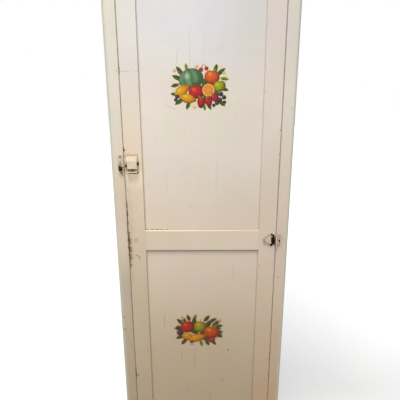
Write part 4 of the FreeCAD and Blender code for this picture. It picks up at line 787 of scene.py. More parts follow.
def make_edge_loss(name, body, edge, inward, low, high, reach, seed, share, material):
    """Paint lost along an upright arris: a strip folded round the edge, ragged and broken along its length.
    edge is the arris's x, inward the side the piece's front lies on, reach about the widest it gets, share
    how much of its length it covers."""
    bpy.ops.object.select_all(action="DESELECT")
    bpy.ops.mesh.primitive_grid_add(x_subdivisions=6, y_subdivisions=max(6, round((high - low) / LOSS_ROW)),
                                    size=1.0, rotation=STOOD_UP)
    strip = bpy.context.object
    strip.scale = (2.0, high - low, 1.0)
    strip.location = (0.0, 0.0, (low + high) / 2)
    take_up(strip, name, material)
    bpy.ops.object.mode_set(mode="EDIT")
    heights = sorted({round(corner.co.z, 6) for corner in bmesh.from_edit_mesh(strip.data).verts})
    rows = loss_rows(random.Random(seed), heights, reach, share)
    for height, width, _ in rows:
        for side, wider in ((1, 1.0), (-1, LEFT_SHARE)):
            select_parts(strip.data, "VERT",
                         lambda end: abs(end.co.z - height) < LOSS_ROW / 10 and end.co.x * side > HAIR)
            bpy.ops.transform.resize(value=(width * wider, 1.0, 1.0), center_override=(0.0, 0.0, height))
    gaps = [(foot, head) for (foot, _, gap), (head, _, next_gap) in zip(rows, rows[1:]) if gap and next_gap]
    select_parts(strip.data, "FACE",
                 lambda face: any(foot < face.calc_center_median().z < head for foot, head in gaps))
    bpy.ops.mesh.delete(type="FACE")
    select_parts(strip.data, "VERT", lambda corner: corner.co.x * inward < -HAIR)
    bpy.ops.transform.rotate(value=math.radians(90) * inward, orient_axis="Z",
                             center_override=(0.0, 0.0, 0.0))
    select_parts(strip.data, "EDGE",
                 lambda line: all(abs(end.co.x) < HAIR and abs(end.co.y) < HAIR for end in line.verts))
    bpy.ops.mesh.bevel(offset=LOSS_ROUND, segments=3, affect="EDGES")
    bpy.ops.object.mode_set(mode="OBJECT")
    strip.location = (edge - inward * PAINT_SKIN, FRONT - PAINT_SKIN, 0.0)
    take_up(strip, name)
    thick = strip.modifiers.new("skin", "SOLIDIFY")
    thick.thickness = PAINT_SKIN
    thick.offset = -1.0
    bpy.ops.object.modifier_apply(modifier=thick.name)
    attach(strip, body)


# on upright edges of the door and the frame: (body, edge, inward, low, high, reach, seed, share, material)
EDGE_LOSSES = {
    "latch_edge_chips_upper": ("door", -DOOR_EDGE, 1, 0.952, 1.046, 0.0046, 11, 0.92, chip_tan),
    "latch_edge_band": ("door", -DOOR_EDGE, 1, 0.838, 0.958, 0.0132, 12, 1.00, chip_tan),
    "latch_edge_flecks_upper": ("door", -DOOR_EDGE, 1, 0.985, 1.048, 0.0020, 21, 0.80, chip_dark),
    "latch_edge_wood": ("door", -DOOR_EDGE, 1, 0.905, 0.945, 0.0050, 13, 0.55, chip_wood),
    "latch_edge_flecks": ("door", -DOOR_EDGE, 1, 0.848, 0.950, 0.0034, 23, 0.50, chip_dark),
    "latch_edge_chips_foot": ("door", -DOOR_EDGE, 1, 0.455, 0.498, 0.0024, 14, 0.80, chip_dark),
    "latch_edge_chips_high": ("door", -DOOR_EDGE, 1, 1.160, 1.196, 0.0022, 15, 0.60, chip_dark),
    "latch_edge_chips_top": ("door", -DOOR_EDGE, 1, 1.370, 1.412, 0.0018, 17, 0.60, chip_dark),
    "frame_edge_chips_middle": ("cabinet", -OPENING_EDGE, -1, 0.850, 1.020, 0.0018, 16, 0.55, chip_tan),
    "hinge_edge_chips": ("door", DOOR_EDGE, -1, 0.500, 0.560, 0.0012, 18, 0.40, chip_dark),
}
for name, loss in EDGE_LOSSES.items():
    make_edge_loss(name, *loss)


# ---------------------------------------------------------------- chips, scratches, cracks and stains

FLAKE_CORNERS = 12
FLAKE_WANDER = 0.16     # how far they wander, for a flake one unit across
LEAST_RIM = 0.0012      # a chip no wider than this has no raised rim of paint
RIM_WIDTH = 0.10        # width of that rim, in shares of the chip's width
RIM_RISE = 0.6          # and its height, in shares of the skin


def make_flake(x, z, width, height, turn, material, seed, face, raised=True):
    """One small mark on a front face: a ragged blank, with a thin raised rim of paint where it is a chip."""
    bpy.ops.object.select_all(action="DESELECT")
    bpy.ops.mesh.primitive_circle_add(vertices=FLAKE_CORNERS, radius=0.5, fill_type="NGON",
                                      rotation=STOOD_UP)
    flake = bpy.context.object
    bpy.ops.object.transform_apply(location=False, rotation=True, scale=False)
    bpy.ops.object.mode_set(mode="EDIT")
    bpy.ops.mesh.select_all(action="SELECT")
    bpy.ops.transform.vertex_random(offset=FLAKE_WANDER, seed=seed)
    bpy.ops.transform.resize(value=(1.0, 0.0, 1.0), center_override=(0.0, 0.0, 0.0))
    bpy.ops.object.mode_set(mode="OBJECT")
    flake.scale = (width, 1.0, height)
    flake.rotation_euler = (0.0, math.radians(turn), 0.0)
    flake.location = (x, face, z)
    take_up(flake, "flake", material)
    bpy.ops.object.mode_set(mode="EDIT")
    bpy.ops.mesh.select_all(action="SELECT")
    bpy.ops.mesh.extrude_region_move(TRANSFORM_OT_translate={"value": (0.0, -PAINT_SKIN, 0.0)})
    if raised and min(width, height) > LEAST_RIM:
        bpy.ops.mesh.inset(thickness=min(width, height) * RIM_WIDTH, depth=-PAINT_SKIN * RIM_RISE)
    bpy.ops.object.mode_set(mode="OBJECT")
    return flake


def make_spots(name, places, body, face, seed):
    """Single chips, each third one down to an older coat and the rest dark with dirt."""
    flakes = [make_flake(x, z, width * MM, height * MM, turn, chip_dark if i % 3 else old_coat, seed + i,
                         face)
              for i, (x, z, width, height, turn) in enumerate(places)]
    gather(flakes, name, body)


def make_scratches(name, places, body, face, seed, material):
    """Marks of one finish that have no rim, such as scratches and stains."""
    lines = [make_flake(x, z, width * MM, length * MM, turn, material, seed + i, face, raised=False)
             for i, (x, z, length, width, turn) in enumerate(places)]
    gather(lines, name, body)


# chips on the door and the frame: (x, z, width, height, turn), places in metres, sizes in mm
DOOR_SPOTS = [
    (-0.1845, 1.0320, 2.2, 1.6, 0), (-0.1800, 1.0215, 1.8, 1.4, 30), (0.1596, 1.3956, 2.6, 1.6, 10),
    (0.1613, 1.3859, 1.8, 2.6, 0), (0.1600, 1.3334, 1.3, 3.0, 0), (-0.2034, 1.1838, 2.6, 5.0, 0),
    (-0.2028, 1.1730, 2.2, 4.0, 12), (0.2040, 1.2350, 1.6, 4.0, 0), (0.2035, 1.1716, 1.5, 3.2, 5),
    (0.1803, 0.4543, 4.0, 2.4, 15), (0.1960, 0.4542, 3.0, 2.4, -20), (-0.2008, 0.4706, 8.0, 2.8, 4),
    (0.1905, 0.7000, 1.4, 2.2, 0), (0.1730, 0.6020, 1.6, 1.2, 0), (-0.1750, 0.6650, 1.6, 1.2, 0),
    (-0.1905, 0.5200, 1.4, 2.4, 10), (0.1990, 0.8560, 1.2, 2.6, 0), (0.1627, 0.8462, 3.4, 2.4, 0),
    (-0.1658, 0.7292, 4.2, 1.8, 8), (0.1650, 1.4520, 1.3, 1.1, 0), (-0.1665, 0.5625, 3.0, 2.0, 30),
    (0.1780, 0.7950, 1.6, 1.4, 0), (-0.1610, 0.9930, 1.3, 3.0, 0),
]
FRAME_SPOTS = [
    (-0.2125, 1.3839, 3.6, 2.8, 20), (0.2189, 0.8100, 3.6, 2.6, -15), (0.2330, 0.5394, 2.0, 4.0, 0),
    (0.2325, 0.5175, 2.2, 5.0, 0), (-0.2328, 0.6787, 2.0, 6.0, 0), (-0.2325, 0.6373, 2.2, 9.0, 3),
    (-0.2265, 0.6127, 2.6, 2.8, 0), (-0.2226, 0.6003, 2.0, 4.0, 10), (-0.2189, 0.5842, 2.2, 2.4, 0),
    (-0.2150, 0.7600, 1.6, 2.0, 0), (0.2290, 1.4100, 1.6, 1.4, 0), (-0.2290, 1.2500, 1.4, 1.6, 0),
    (0.2130, 0.6500, 1.4, 2.4, 0), (0.2320, 1.2900, 1.4, 2.6, 0), (-0.2310, 1.0600, 1.4, 3.0, 0),
]
PANEL_SPOTS = [
    (-0.0407, 1.0887, 3.2, 2.4, 20), (-0.0300, 1.0240, 2.0, 1.6, 0), (0.0343, 0.8069, 2.0, 2.0, 0),
    (0.0850, 0.7343, 3.4, 1.8, -10), (0.0789, 0.5566, 8.0, 3.0, 84), (-0.0850, 0.7900, 1.4, 1.2, 0),
    (0.1230, 0.6100, 1.6, 1.8, 0), (-0.1200, 1.2100, 1.4, 1.2, 0), (0.1100, 1.1000, 1.3, 1.3, 0),
    (0.0932, 0.6103, 1.6, 9.0, 88), (0.0616, 0.4469, 1.6, 8.0, 4), (-0.0900, 0.4450, 1.6, 1.3, 0),
    (0.1400, 1.4100, 1.4, 1.1, 0),
]
make_spots("door_frame_chips", DOOR_SPOTS, "door", FRONT, 40)
make_spots("face_frame_chips", FRAME_SPOTS, "cabinet", FRONT, 70)
make_spots("door_panel_chips", PANEL_SPOTS, "door", PANEL_FACE, 100)

# scratches, cracks, dirt and painted shade: (x, z, length, width, turn from upright), in those units too
scratch_dirt = make_flat_finish("dirt in scratches", shade(96, 70, 44), shade(140, 112, 80))
hairline = make_flat_finish("hairline cracks", shade(168, 150, 128), shade(190, 174, 152), roughness=0.45)
STILE_SCRATCHES = [
    (-0.1842, 0.8790, 11.0, 2.0, -52), (-0.1770, 0.8715, 8.0, 2.0, 48), (-0.1785, 0.8750, 5.0, 1.6, -70),
]
PANEL_SCRATCHES = [
    (-0.1136, 0.6630, 52, 0.7, 2), (-0.0630, 0.5350, 42, 0.8, -1), (-0.0230, 0.5230, 78, 0.7, 1),
    (0.0240, 0.3830, 34, 0.8, 0), (-0.0450, 0.4120, 26, 0.6, 3),
]
PANEL_HAIRLINES = [
    (-0.0805, 1.2940, 32, 1.0, -61), (-0.0295, 1.4175, 159, 0.6, 0), (-0.0622, 1.4150, 30, 0.7, 0),
    (0.0420, 1.1200, 88, 0.6, 1), (0.1520, 0.4550, 168, 1.1, 0), (-0.0960, 1.0900, 60, 0.6, 0),
    (0.0880, 0.8200, 55, 0.6, -1), (-0.1553, 0.5588, 13, 1.8, 148), (-0.1412, 0.5573, 24, 2.2, 72),
    (-0.1194, 0.5681, 27, 1.8, 57), (-0.0040, 0.7700, 30, 0.8, 4),
]
LEDGE_DASHES = [
    (-0.1400, 0.9562, 8.0, 1.6, 90), (-0.1270, 0.9560, 10.0, 1.4, 88), (-0.1130, 0.9561, 6.0, 1.5, 90),
    (-0.0990, 0.9559, 7.0, 1.2, 91), (-0.1535, 0.9563, 5.0, 1.8, 84),
]
BAR_SMEAR = [(-0.1683, 1.1468, 9.0, 1.8, 2)]
# dark lines along the outlines of the hinge leaves: dirt and painted shade
HINGE_WING_DIRT_AND_SHADE = [(0.1755, 0.9335, 15.0, 1.2, 48), (0.1765, 0.9110, 14.0, 1.2, 122)]
HINGE_LEAF_DIRT_AND_SHADE = [(0.2262, 0.9300, 5.0, 1.2, 0), (0.2150, 0.9066, 12.0, 1.2, 90)]
make_scratches("stile_scratches", STILE_SCRATCHES, "door", FRONT, 130, scratch_dirt)
make_scratches("panel_scratches", PANEL_SCRATCHES, "door", PANEL_FACE, 140, scratch_dirt)
make_scratches("panel_hairlines", PANEL_HAIRLINES, "door", PANEL_FACE, 150, hairline)
make_scratches("ledge_chips", LEDGE_DASHES, "door", PANEL_FACE, 160, chip_dark)
make_scratches("latch_bar_smear", BAR_SMEAR, "door", FRONT, 190, chip_dark)
make_scratches("hinge_wing_dirt_and_shade", HINGE_WING_DIRT_AND_SHADE, "door", FRONT, 180, scratch_dirt)
make_scratches("hinge_leaf_dirt_and_shade", HINGE_LEAF_DIRT_AND_SHADE, "cabinet", FRONT, 200, scratch_dirt)

BEAD_HALF_WIDTH = 0.00030
BEAD_HALF_DEPTH = 0.00080
BEAD_SHORT = 0.0008      # how far a bead stops short of the door's top and foot
BEAD_SINK = 0.0019       # how far behind the front it lies
BEAD_OFF = 0.00004       # how far its middle lies off the edge that it clings to
BEAD_CUTS = 150          # rows of corners along it
BEAD_WANDER = 0.00010    # how far they wander


def make_lodged_paint(name, body, x, seed, material):
    """Paint and dust from many coats, lodged in the door's gap just behind the front: a thin uneven bead."""
    bpy.ops.object.select_all(action="DESELECT")
    bpy.ops.mesh.primitive_cylinder_add(vertices=8, radius=1.0, depth=1.0)
    bead = bpy.context.object
    bead.scale = (BEAD_HALF_WIDTH, BEAD_HALF_DEPTH, DOOR_HEIGHT - 2 * BEAD_SHORT)
    bead.location = (x, FRONT + BEAD_SINK, DOOR_MIDDLE)
    take_up(bead, name, material)
    bpy.ops.object.mode_set(mode="EDIT")
    select_parts(bead.data, "EDGE", lambda line: line.calc_length() > 1.0)
    bpy.ops.mesh.subdivide(number_cuts=BEAD_CUTS)
    bpy.ops.mesh.select_all(action="SELECT")
    bpy.ops.transform.vertex_random(offset=BEAD_WANDER, seed=seed)
    bpy.ops.object.mode_set(mode="OBJECT")
    bpy.ops.object.shade_smooth()
    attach(bead, body)


lodged_pale = make_flat_finish("pale paint lodged in the gap", shade(176, 152, 120), shade(214, 194, 162),
                               grain=90.0, roughness=0.6)
lodged_grey = make_flat_finish("grey paint lodged in the gap", shade(156, 140, 122), shade(192, 176, 156),
                               grain=90.0, roughness=0.6)
make_lodged_paint("lodged_paint_latch_frame", "cabinet", -OPENING_EDGE + BEAD_OFF, 301, lodged_pale)
make_lodged_paint("lodged_paint_latch_door", "door", -DOOR_EDGE - BEAD_OFF, 302, lodged_pale)
make_lodged_paint("lodged_paint_hinge_frame", "cabinet", OPENING_EDGE - BEAD_OFF, 303, lodged_grey)
make_lodged_paint("lodged_paint_hinge_door", "door", DOOR_EDGE + BEAD_OFF, 304, lodged_grey)

ochre = make_flat_finish("ochre stain", shade(200, 175, 124), shade(210, 189, 150), grain=160.0,
                         roughness=0.40)
OCHRE_STAIN = [(-0.1865, 0.9260, 15.0, 16.0, 10)]
make_scratches("ochre_stain", OCHRE_STAIN, "door", FRONT, 171, ochre)


# ---------------------------------------------------------------- latch spring

SPRING_WIRE = 0.00035     # radius of the wire
SPRING_RADIUS = 0.0021    # of the coil, to the wire's middle
SPRING_PITCH = 0.0017
WIRE_SIDES = 12
TURN_STEPS = 20           # steps of one turn of the coil


def make_spring_coil():
    """The coil over the bar's left arm: round wire wound up to the case's roof."""
    low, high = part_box("latch_spring")
    rise = high[2] - low[2] - 2 * SPRING_WIRE
    turns = rise / SPRING_PITCH
    centre = ((low[0] + high[0]) / 2, (low[1] + high[1]) / 2)
    bpy.ops.object.select_all(action="DESELECT")
    bpy.ops.mesh.primitive_circle_add(vertices=WIRE_SIDES, radius=SPRING_WIRE, rotation=STOOD_UP,
                                      location=(SPRING_RADIUS, 0.0, 0.0))
    coil = take_up(bpy.context.object, "latch_spring_coil", steel)
    wound = coil.modifiers.new("wound", "SCREW")
    wound.angle = math.radians(360) * turns
    wound.screw_offset = rise
    wound.steps = wound.render_steps = round(turns * TURN_STEPS)
    bpy.ops.object.modifier_apply(modifier=wound.name)
    bpy.ops.object.mode_set(mode="EDIT")
    bpy.ops.mesh.select_all(action="SELECT")
    bpy.ops.mesh.fill_holes(sides=WIRE_SIDES)
    bpy.ops.mesh.select_all(action="SELECT")
    bpy.ops.mesh.normals_make_consistent(inside=False)
    bpy.ops.object.mode_set(mode="OBJECT")
    bpy.ops.object.shade_smooth_by_angle(angle=math.radians(40))
    coil.location = (*centre, low[2] + SPRING_WIRE)
    take_up(coil, "latch_spring_coil")
    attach(coil, "door")
    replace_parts(coil, "latch_spring")
    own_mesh(coil)


make_spring_coil()


# ---------------------------------------------------------------- printed transfers

PRINT_DEPTH = 0.82         # share of its brightness that the varnish leaves an ink
FILM_DEPTH = 1.0           # and the bare film
VARNISH_STRENGTH = 2.12    # less that share, how much the varnish strengthens a colour


def make_printed_round():
    """A round fruit as a printer shades it: light at the upper left, deep at the lower right rim."""
    tree, given, wanted = effect("Printed round", {"Place": "Vector", "Vector": "Vector", "Light": "Color",
                                                   "Body": "Color", "Deep": "Color"}, {"Color": "Color"})
    wobble = swing(tree, given["Vector"], 420.0, 0.22)
    from_middle = norm(tree, away_from(tree, given["Place"], (0.40, 0.60, 0.0)))
    from_light = norm(tree, away_from(tree, given["Place"], (0.34, 0.68, 0.0)))
    deep = ramp(tree, sums(tree, "ADD", from_middle, wobble), 0.22, 0.60)
    lit = ramp(tree, sums(tree, "ADD", from_light, wobble), 0.22, 0.02)
    body = blend(tree, deep, given["Body"], given["Deep"])
    tree.links.new(blend(tree, lit, body, given["Light"]), wanted["Color"])
    return tree


def make_printed_leaf():
    """A leaf with a pale rib, side veins and one darker half."""
    tree, given, wanted = effect("Printed leaf", {"Place": "Vector", "Vector": "Vector", "Light": "Color",
                                                  "Deep": "Color"}, {"Color": "Color"})
    side = sums(tree, "SUBTRACT", part(tree, given["Place"], "X"), 0.5)
    out = sums(tree, "ABSOLUTE", side)
    along = sums(tree, "MULTIPLY", part(tree, given["Place"], "Y"), 38.0)
    slope = sums(tree, "SUBTRACT", along, sums(tree, "MULTIPLY", out, 26.0))
    veins = ramp(tree, sums(tree, "SINE", slope), 0.55, 0.95, 0.0, 0.55)
    rib = ramp(tree, out, 0.045, 0.015, 0.0, 0.8)
    half = ramp(tree, side, -0.04, 0.04, 0.15, 0.75)
    mottle = ramp(tree, clouds(tree, given["Vector"], 300.0), 0.35, 0.65, -0.2, 0.25)
    colour = blend(tree, sums(tree, "ADD", half, mottle, clamp=True), given["Light"], given["Deep"])
    tree.links.new(blend(tree, sums(tree, "MAXIMUM", veins, rib), colour, given["Light"]), wanted["Color"])
    return tree


def make_old_varnish():
    """Old clear varnish over print, browner low on the door. It deepens the inks and clouds them a bit."""
    tree, given, wanted = effect("Old varnish", {"Vector": "Vector", "Color": "Color", "Depth": "Float"},
                                 {"Color": "Color", "Roughness": "Float"})
    here = given["Vector"]
    strength = sums(tree, "SUBTRACT", VARNISH_STRENGTH, given["Depth"])
    deepened = put(tree, "HueSaturation", {"Color": given["Color"], "Saturation": strength,
                                           "Value": given["Depth"]}).outputs[0]
    low = ramp(tree, part(tree, here, "Z"), 1.10, 0.80)
    cloudy = ramp(tree, clouds(tree, here, 160.0, detail=4.0), 0.35, 0.75, 0.0, 0.12)
    haze = sums(tree, "ADD", sums(tree, "MULTIPLY", low, 0.12), cloudy)
    hazed = blend(tree, haze, deepened, shade(126, 84, 40))
    browning = blend(tree, low, (1.0, 1.0, 1.0, 1.0), (0.87, 0.73, 0.55, 1.0))
    tree.links.new(product(tree, hazed, browning), wanted["Color"])
    tree.links.new(ramp(tree, clouds(tree, here, 30.0), 0.2, 0.8, 0.34, 0.46), wanted["Roughness"])
    return tree


PRINTED_ROUND = make_printed_round()
PRINTED_LEAF = make_printed_leaf()
OLD_VARNISH = make_old_varnish()


def varnish(tree, shader, here, colour, depth=PRINT_DEPTH):
    """Finishes a print with old varnish, a soft gloss and the brush marks of the enamel below."""
    aged = use(tree, OLD_VARNISH, Vector=here, Color=colour, Depth=depth)
    tree.links.new(aged["Color"], shader.inputs["Base Color"])
    tree.links.new(aged["Roughness"], shader.inputs["Roughness"])
    shader.inputs["Specular IOR Level"].default_value = 0.25
    raise_surface(tree, shader, use(tree, STROKES, Vector=here, Run=UP)["Height"], 0.15, 0.0004)


def print_round(name, light, body, deep, depth=PRINT_DEPTH):
    """Anything round or plain, in a light, a middle and a deep ink."""
    material, tree, shader, place = new_material(name)
    fruit = use(tree, PRINTED_ROUND, Place=place["UV"], Vector=place["Object"], Light=light, Body=body,
                Deep=deep)
    varnish(tree, shader, place["Object"], fruit["Color"], depth)
    return material


def print_leaf(name, light, deep):
    """A leaf in two inks."""
    material, tree, shader, place = new_material(name)
    leaf = use(tree, PRINTED_LEAF, Place=place["UV"], Vector=place["Object"], Light=light, Deep=deep)
    varnish(tree, shader, place["Object"], leaf["Color"])
    return material


def print_ribbed(name, pale, dark):
    """A ribbed green melon: upright bands that close up towards its sides."""
    material, tree, shader, place = new_material(name)
    rise = sums(tree, "SUBTRACT", part(tree, place["UV"], "Y"), 0.5)
    left_over = sums(tree, "SUBTRACT", 0.26, sums(tree, "MULTIPLY", rise, rise))
    half_width = sums(tree, "SQRT", sums(tree, "MAXIMUM", left_over, 0.004))
    across = sums(tree, "DIVIDE", sums(tree, "SUBTRACT", part(tree, place["UV"], "X"), 0.5), half_width)
    turn = sums(tree, "MULTIPLY", sums(tree, "ARCSINE", across), 9.0)
    wobble = sums(tree, "MULTIPLY", clouds(tree, place["Object"], 190.0), 1.6)
    bands = ramp(tree, sums(tree, "SINE", sums(tree, "ADD", turn, wobble)), -0.5, 0.8, 0.0, 0.55)
    rounded = use(tree, PRINTED_ROUND, Place=place["UV"], Vector=place["Object"], Light=shade(196, 212, 180),
                  Body=pale, Deep=dark)["Color"]
    varnish(tree, shader, place["Object"], blend(tree, bands, rounded, dark))
    return material


def print_cut_citrus(name):
    """The cut face of an orange: wedges and core, pith, rind."""
    material, tree, shader, place = new_material(name)
    spot = away_from(tree, place["UV"], (0.5, 0.5, 0.0))
    reach = norm(tree, spot)
    turn = sums(tree, "ARCTAN2", part(tree, spot, "Y"), part(tree, spot, "X"))
    wedges = sums(tree, "ABSOLUTE", sums(tree, "SINE", sums(tree, "MULTIPLY", turn, 4.5)))
    flesh = blend(tree, clouds(tree, place["Object"], 900.0), shade(246, 168, 66), shade(232, 116, 34))
    colour = blend(tree, ramp(tree, wedges, 0.34, 0.12), flesh, shade(248, 222, 160))
    colour = blend(tree, ramp(tree, reach, 0.395, 0.42), colour, shade(246, 226, 176))
    colour = blend(tree, ramp(tree, reach, 0.445, 0.46), colour, shade(226, 104, 34))
    colour = blend(tree, ramp(tree, reach, 0.05, 0.03), colour, shade(246, 226, 176))
    varnish(tree, shader, place["Object"], colour)
    return material


# what each motif or coat is printed in
INKS = {
    "film": print_round("yellowed film", shade(232, 222, 194), shade(231, 219, 188), shade(226, 208, 168),
                        FILM_DEPTH),
    "aged film": print_round("browned film", shade(208, 200, 174), shade(205, 196, 168),
                             shade(198, 184, 150), FILM_DEPTH),
    "aged leaf": print_leaf("aged leaf print", shade(70, 84, 38), shade(14, 22, 10)),
    "contour": print_round("dark contour print", shade(58, 36, 18), shade(44, 26, 12), shade(28, 16, 8)),
    "dark leaf": print_leaf("dark leaf print", shade(80, 102, 42), shade(15, 27, 10)),
    "pale leaf": print_leaf("pale leaf print", shade(150, 158, 80), shade(58, 82, 36)),
    "melon": print_ribbed("ribbed melon print", shade(122, 154, 116), shade(50, 86, 58)),
    "tangerine": print_round("tangerine print", shade(252, 170, 84), shade(234, 96, 22), shade(160, 44, 16)),
    "peach": print_round("peach print", shade(244, 176, 92), shade(216, 96, 38), shade(150, 36, 24)),
    "tomato": print_round("tomato print", shade(244, 130, 96), shade(198, 34, 26), shade(104, 12, 18)),
    "lemon": print_round("lemon print", shade(252, 224, 120), shade(238, 168, 26), shade(186, 98, 16)),
    "greengage": print_round("greengage print", shade(218, 212, 110), shade(172, 172, 44),
                             shade(88, 98, 26)),
    "strawberry": print_round("strawberry print", shade(236, 138, 126), shade(192, 34, 48),
                              shade(108, 12, 30)),
    "damson": print_round("damson print", shade(124, 116, 142), shade(48, 38, 56), shade(18, 14, 22)),
    "cut citrus": print_cut_citrus("cut citrus print"),
    "stem": print_round("stem print", shade(120, 96, 52), shade(88, 70, 38), shade(60, 48, 28)),
    "blossom": print_round("blossom print", shade(250, 238, 222), shade(238, 206, 186),
                           shade(214, 150, 140)),
}


def round_blank(name, corners, reshape=None):
    """A flat blank, one unit in radius and one unit thick, which a motif is scaled from."""
    bpy.ops.object.select_all(action="DESELECT")
    bpy.ops.mesh.primitive_circle_add(vertices=corners, radius=1.0, fill_type="TRIFAN", rotation=STOOD_UP)
    piece = take_up(bpy.context.object, name)
    bpy.ops.object.mode_set(mode="EDIT")
    if reshape:
        reshape(piece.data)
    bpy.ops.mesh.select_all(action="SELECT")
    bpy.ops.mesh.extrude_region_move(TRANSFORM_OT_translate={"value": (0.0, -1.0, 0.0)})
    bpy.ops.object.mode_set(mode="OBJECT")
    return piece


def pull(mesh, test, move, reach, falloff="SMOOTH"):
    """Draws part of a blank's rim outwards or inwards, and the rim near it along with it."""
    select_parts(mesh, "VERT", lambda corner: test(corner.co))
    bpy.ops.transform.translate(value=move, use_proportional_edit=True, proportional_edit_falloff=falloff,
                                proportional_size=reach)


def shape_lemon(mesh):
    """A nipple at each end."""
    for side in (-1, 1):
        pull(mesh, lambda co: co.x * side > 0.97, (0.22 * side, 0.0, 0.0), 0.45, "SHARP")


def shape_apple(mesh):
    """A hollow at the stalk and a shallow one at the foot, and full shoulders."""
    pull(mesh, lambda co: abs(co.x) < 0.05 and co.z > 0.9, (0.0, 0.0, -0.16), 0.45)
    pull(mesh, lambda co: abs(co.x) < 0.05 and co.z < -0.9, (0.0, 0.0, 0.10), 0.40)
    pull(mesh, lambda co: abs(co.x) > 0.9 and co.z > 0.0, (0.0, 0.0, 0.08), 0.8)


def shape_strawberry(mesh):
    """A pointed foot and a flat top."""
    pull(mesh, lambda co: co.z < -0.95, (0.0, 0.0, -0.35), 0.9)
    pull(mesh, lambda co: co.z > 0.95, (0.0, 0.0, -0.20), 0.6)


def shape_leaf(mesh):
    """A point at the tip and at the stalk."""
    bpy.ops.mesh.select_all(action="SELECT")
    bpy.ops.transform.resize(value=(0.85, 1.0, 0.80), center_override=(0.0, 0.0, 0.0))
    pull(mesh, lambda co: co.z > 0.78, (0.0, 0.0, 0.24), 0.45, "SHARP")
    pull(mesh, lambda co: co.z < -0.78, (0.0, 0.0, -0.20), 0.40, "SHARP")


BLANKS = {
    "round": round_blank("round blank", 28),
    "apple": round_blank("apple blank", 32, shape_apple),
    "lemon": round_blank("lemon blank", 32, shape_lemon),
    "strawberry": round_blank("strawberry blank", 24, shape_strawberry),
    "leaf": round_blank("leaf blank", 20, shape_leaf),
    "berry": round_blank("berry blank", 14),
}

# each motif: (blank, ink, layer, x, z, width, height, turn from upright), in mm from the middle of the print
# and in degrees; where the ink is None there is only film
UPPER_DESIGN = [
    ("leaf", "dark leaf", 1, 52, 36, 13, 32, 52), ("leaf", "dark leaf", 2, 40, 44, 12, 26, 14),
    ("leaf", "pale leaf", 1, 62, 20, 10, 24, 98), ("leaf", "dark leaf", 1, -56, 22, 13, 32, -66),
    ("leaf", "dark leaf", 2, -50, 38, 13, 32, -36), ("leaf", "pale leaf", 1, -34, 48, 9, 20, -8),
    ("leaf", "dark leaf", 2, -62, 4, 11, 24, -104), ("leaf", "dark leaf", 1, -52, -36, 13, 30, -124),
    ("leaf", "dark leaf", 2, -30, -46, 11, 24, -158), ("leaf", "dark leaf", 1, 56, -40, 12, 26, 132),
    ("leaf", "pale leaf", 2, 12, -50, 9, 20, 172), ("leaf", "dark leaf", 2, 64, -6, 10, 20, 106),
    ("leaf", "dark leaf", 1, 24, -48, 10, 22, 150), ("leaf", "dark leaf", 2, -66, -18, 9, 18, -80),
    ("berry", "stem", 1, 6, 50, 1.6, 16, 24), ("berry", "stem", 1, 15, 49, 1.6, 16, -20),
    ("leaf", "dark leaf", 1, 12, 8, 16, 34, 10), ("leaf", "dark leaf", 2, 8, -24, 15, 34, 150),
    ("leaf", "dark leaf", 2, 34, 6, 14, 30, 96), ("leaf", "dark leaf", 1, 40, -14, 14, 32, 120),
    ("leaf", "dark leaf", 1, -50, -20, 14, 30, -98), ("leaf", "dark leaf", 2, 46, -30, 13, 28, 136),
    ("round", "melon", 3, -22, 20, 62, 50, -14), ("berry", "stem", 4, -30, 42, 4, 9, -16),
    ("apple", "tangerine", 3, 31, 24, 37, 34, 8), ("leaf", "pale leaf", 4, 37, 40, 8, 17, 58),
    ("berry", "strawberry", 4, 3, 42, 11, 11, 0), ("berry", "strawberry", 4, 17, 45, 10, 10, 0),
    ("apple", "greengage", 4, 50, 2, 30, 27, -10), ("apple", "tomato", 4, -8, -12, 39, 35, -6),
    ("lemon", "lemon", 4, -45, -8, 36, 23, -32), ("lemon", "lemon", 5, -31, -28, 36, 22, 14),
    ("round", "cut citrus", 5, 22, -8, 33, 33, 0), ("strawberry", "strawberry", 5, 4, -36, 20, 23, 8),
    ("strawberry", "strawberry", 6, 22, -34, 18, 21, -14),
    ("strawberry", "strawberry", 5, 38, -25, 18, 21, -34), ("leaf", "pale leaf", 7, 0, -25, 5, 12, -50),
    ("leaf", "pale leaf", 7, 8, -25, 5, 12, 50), ("leaf", "pale leaf", 7, 22, -24, 5, 11, 70),
    ("leaf", "pale leaf", 7, 31, -17, 5, 11, -40), ("leaf", "dark leaf", 6, -10, 8, 8, 17, 68),
    ("leaf", "dark leaf", 6, -15, 7, 7, 15, -60), ("berry", "damson", 5, 54, -18, 12, 12, 0),
    ("berry", "damson", 6, 62, -26, 11, 11, 0), ("berry", "damson", 5, 52, -32, 11, 11, 0),
    ("berry", "damson", 6, 44, -40, 11, 11, 0), ("berry", "damson", 5, 63, -38, 9, 9, 0),
    ("berry", "damson", 5, 36, -46, 9, 9, 0), ("berry", "damson", 5, -58, -24, 11, 11, 0),
    ("berry", "damson", 6, -62, -32, 9, 9, 0), ("berry", "blossom", 3, -8, 50, 8, 8, 0),
    ("berry", "blossom", 3, 60, 34, 7, 7, 0), ("berry", "blossom", 3, -64, 40, 7, 7, 0),
    ("berry", "blossom", 3, -14, -51, 7, 7, 0), ("round", None, 0, -46, 4, 44, 66, 0),
    ("round", None, 0, 46, 22, 42, 56, 0), ("round", None, 0, 6, -30, 96, 42, 0),
]
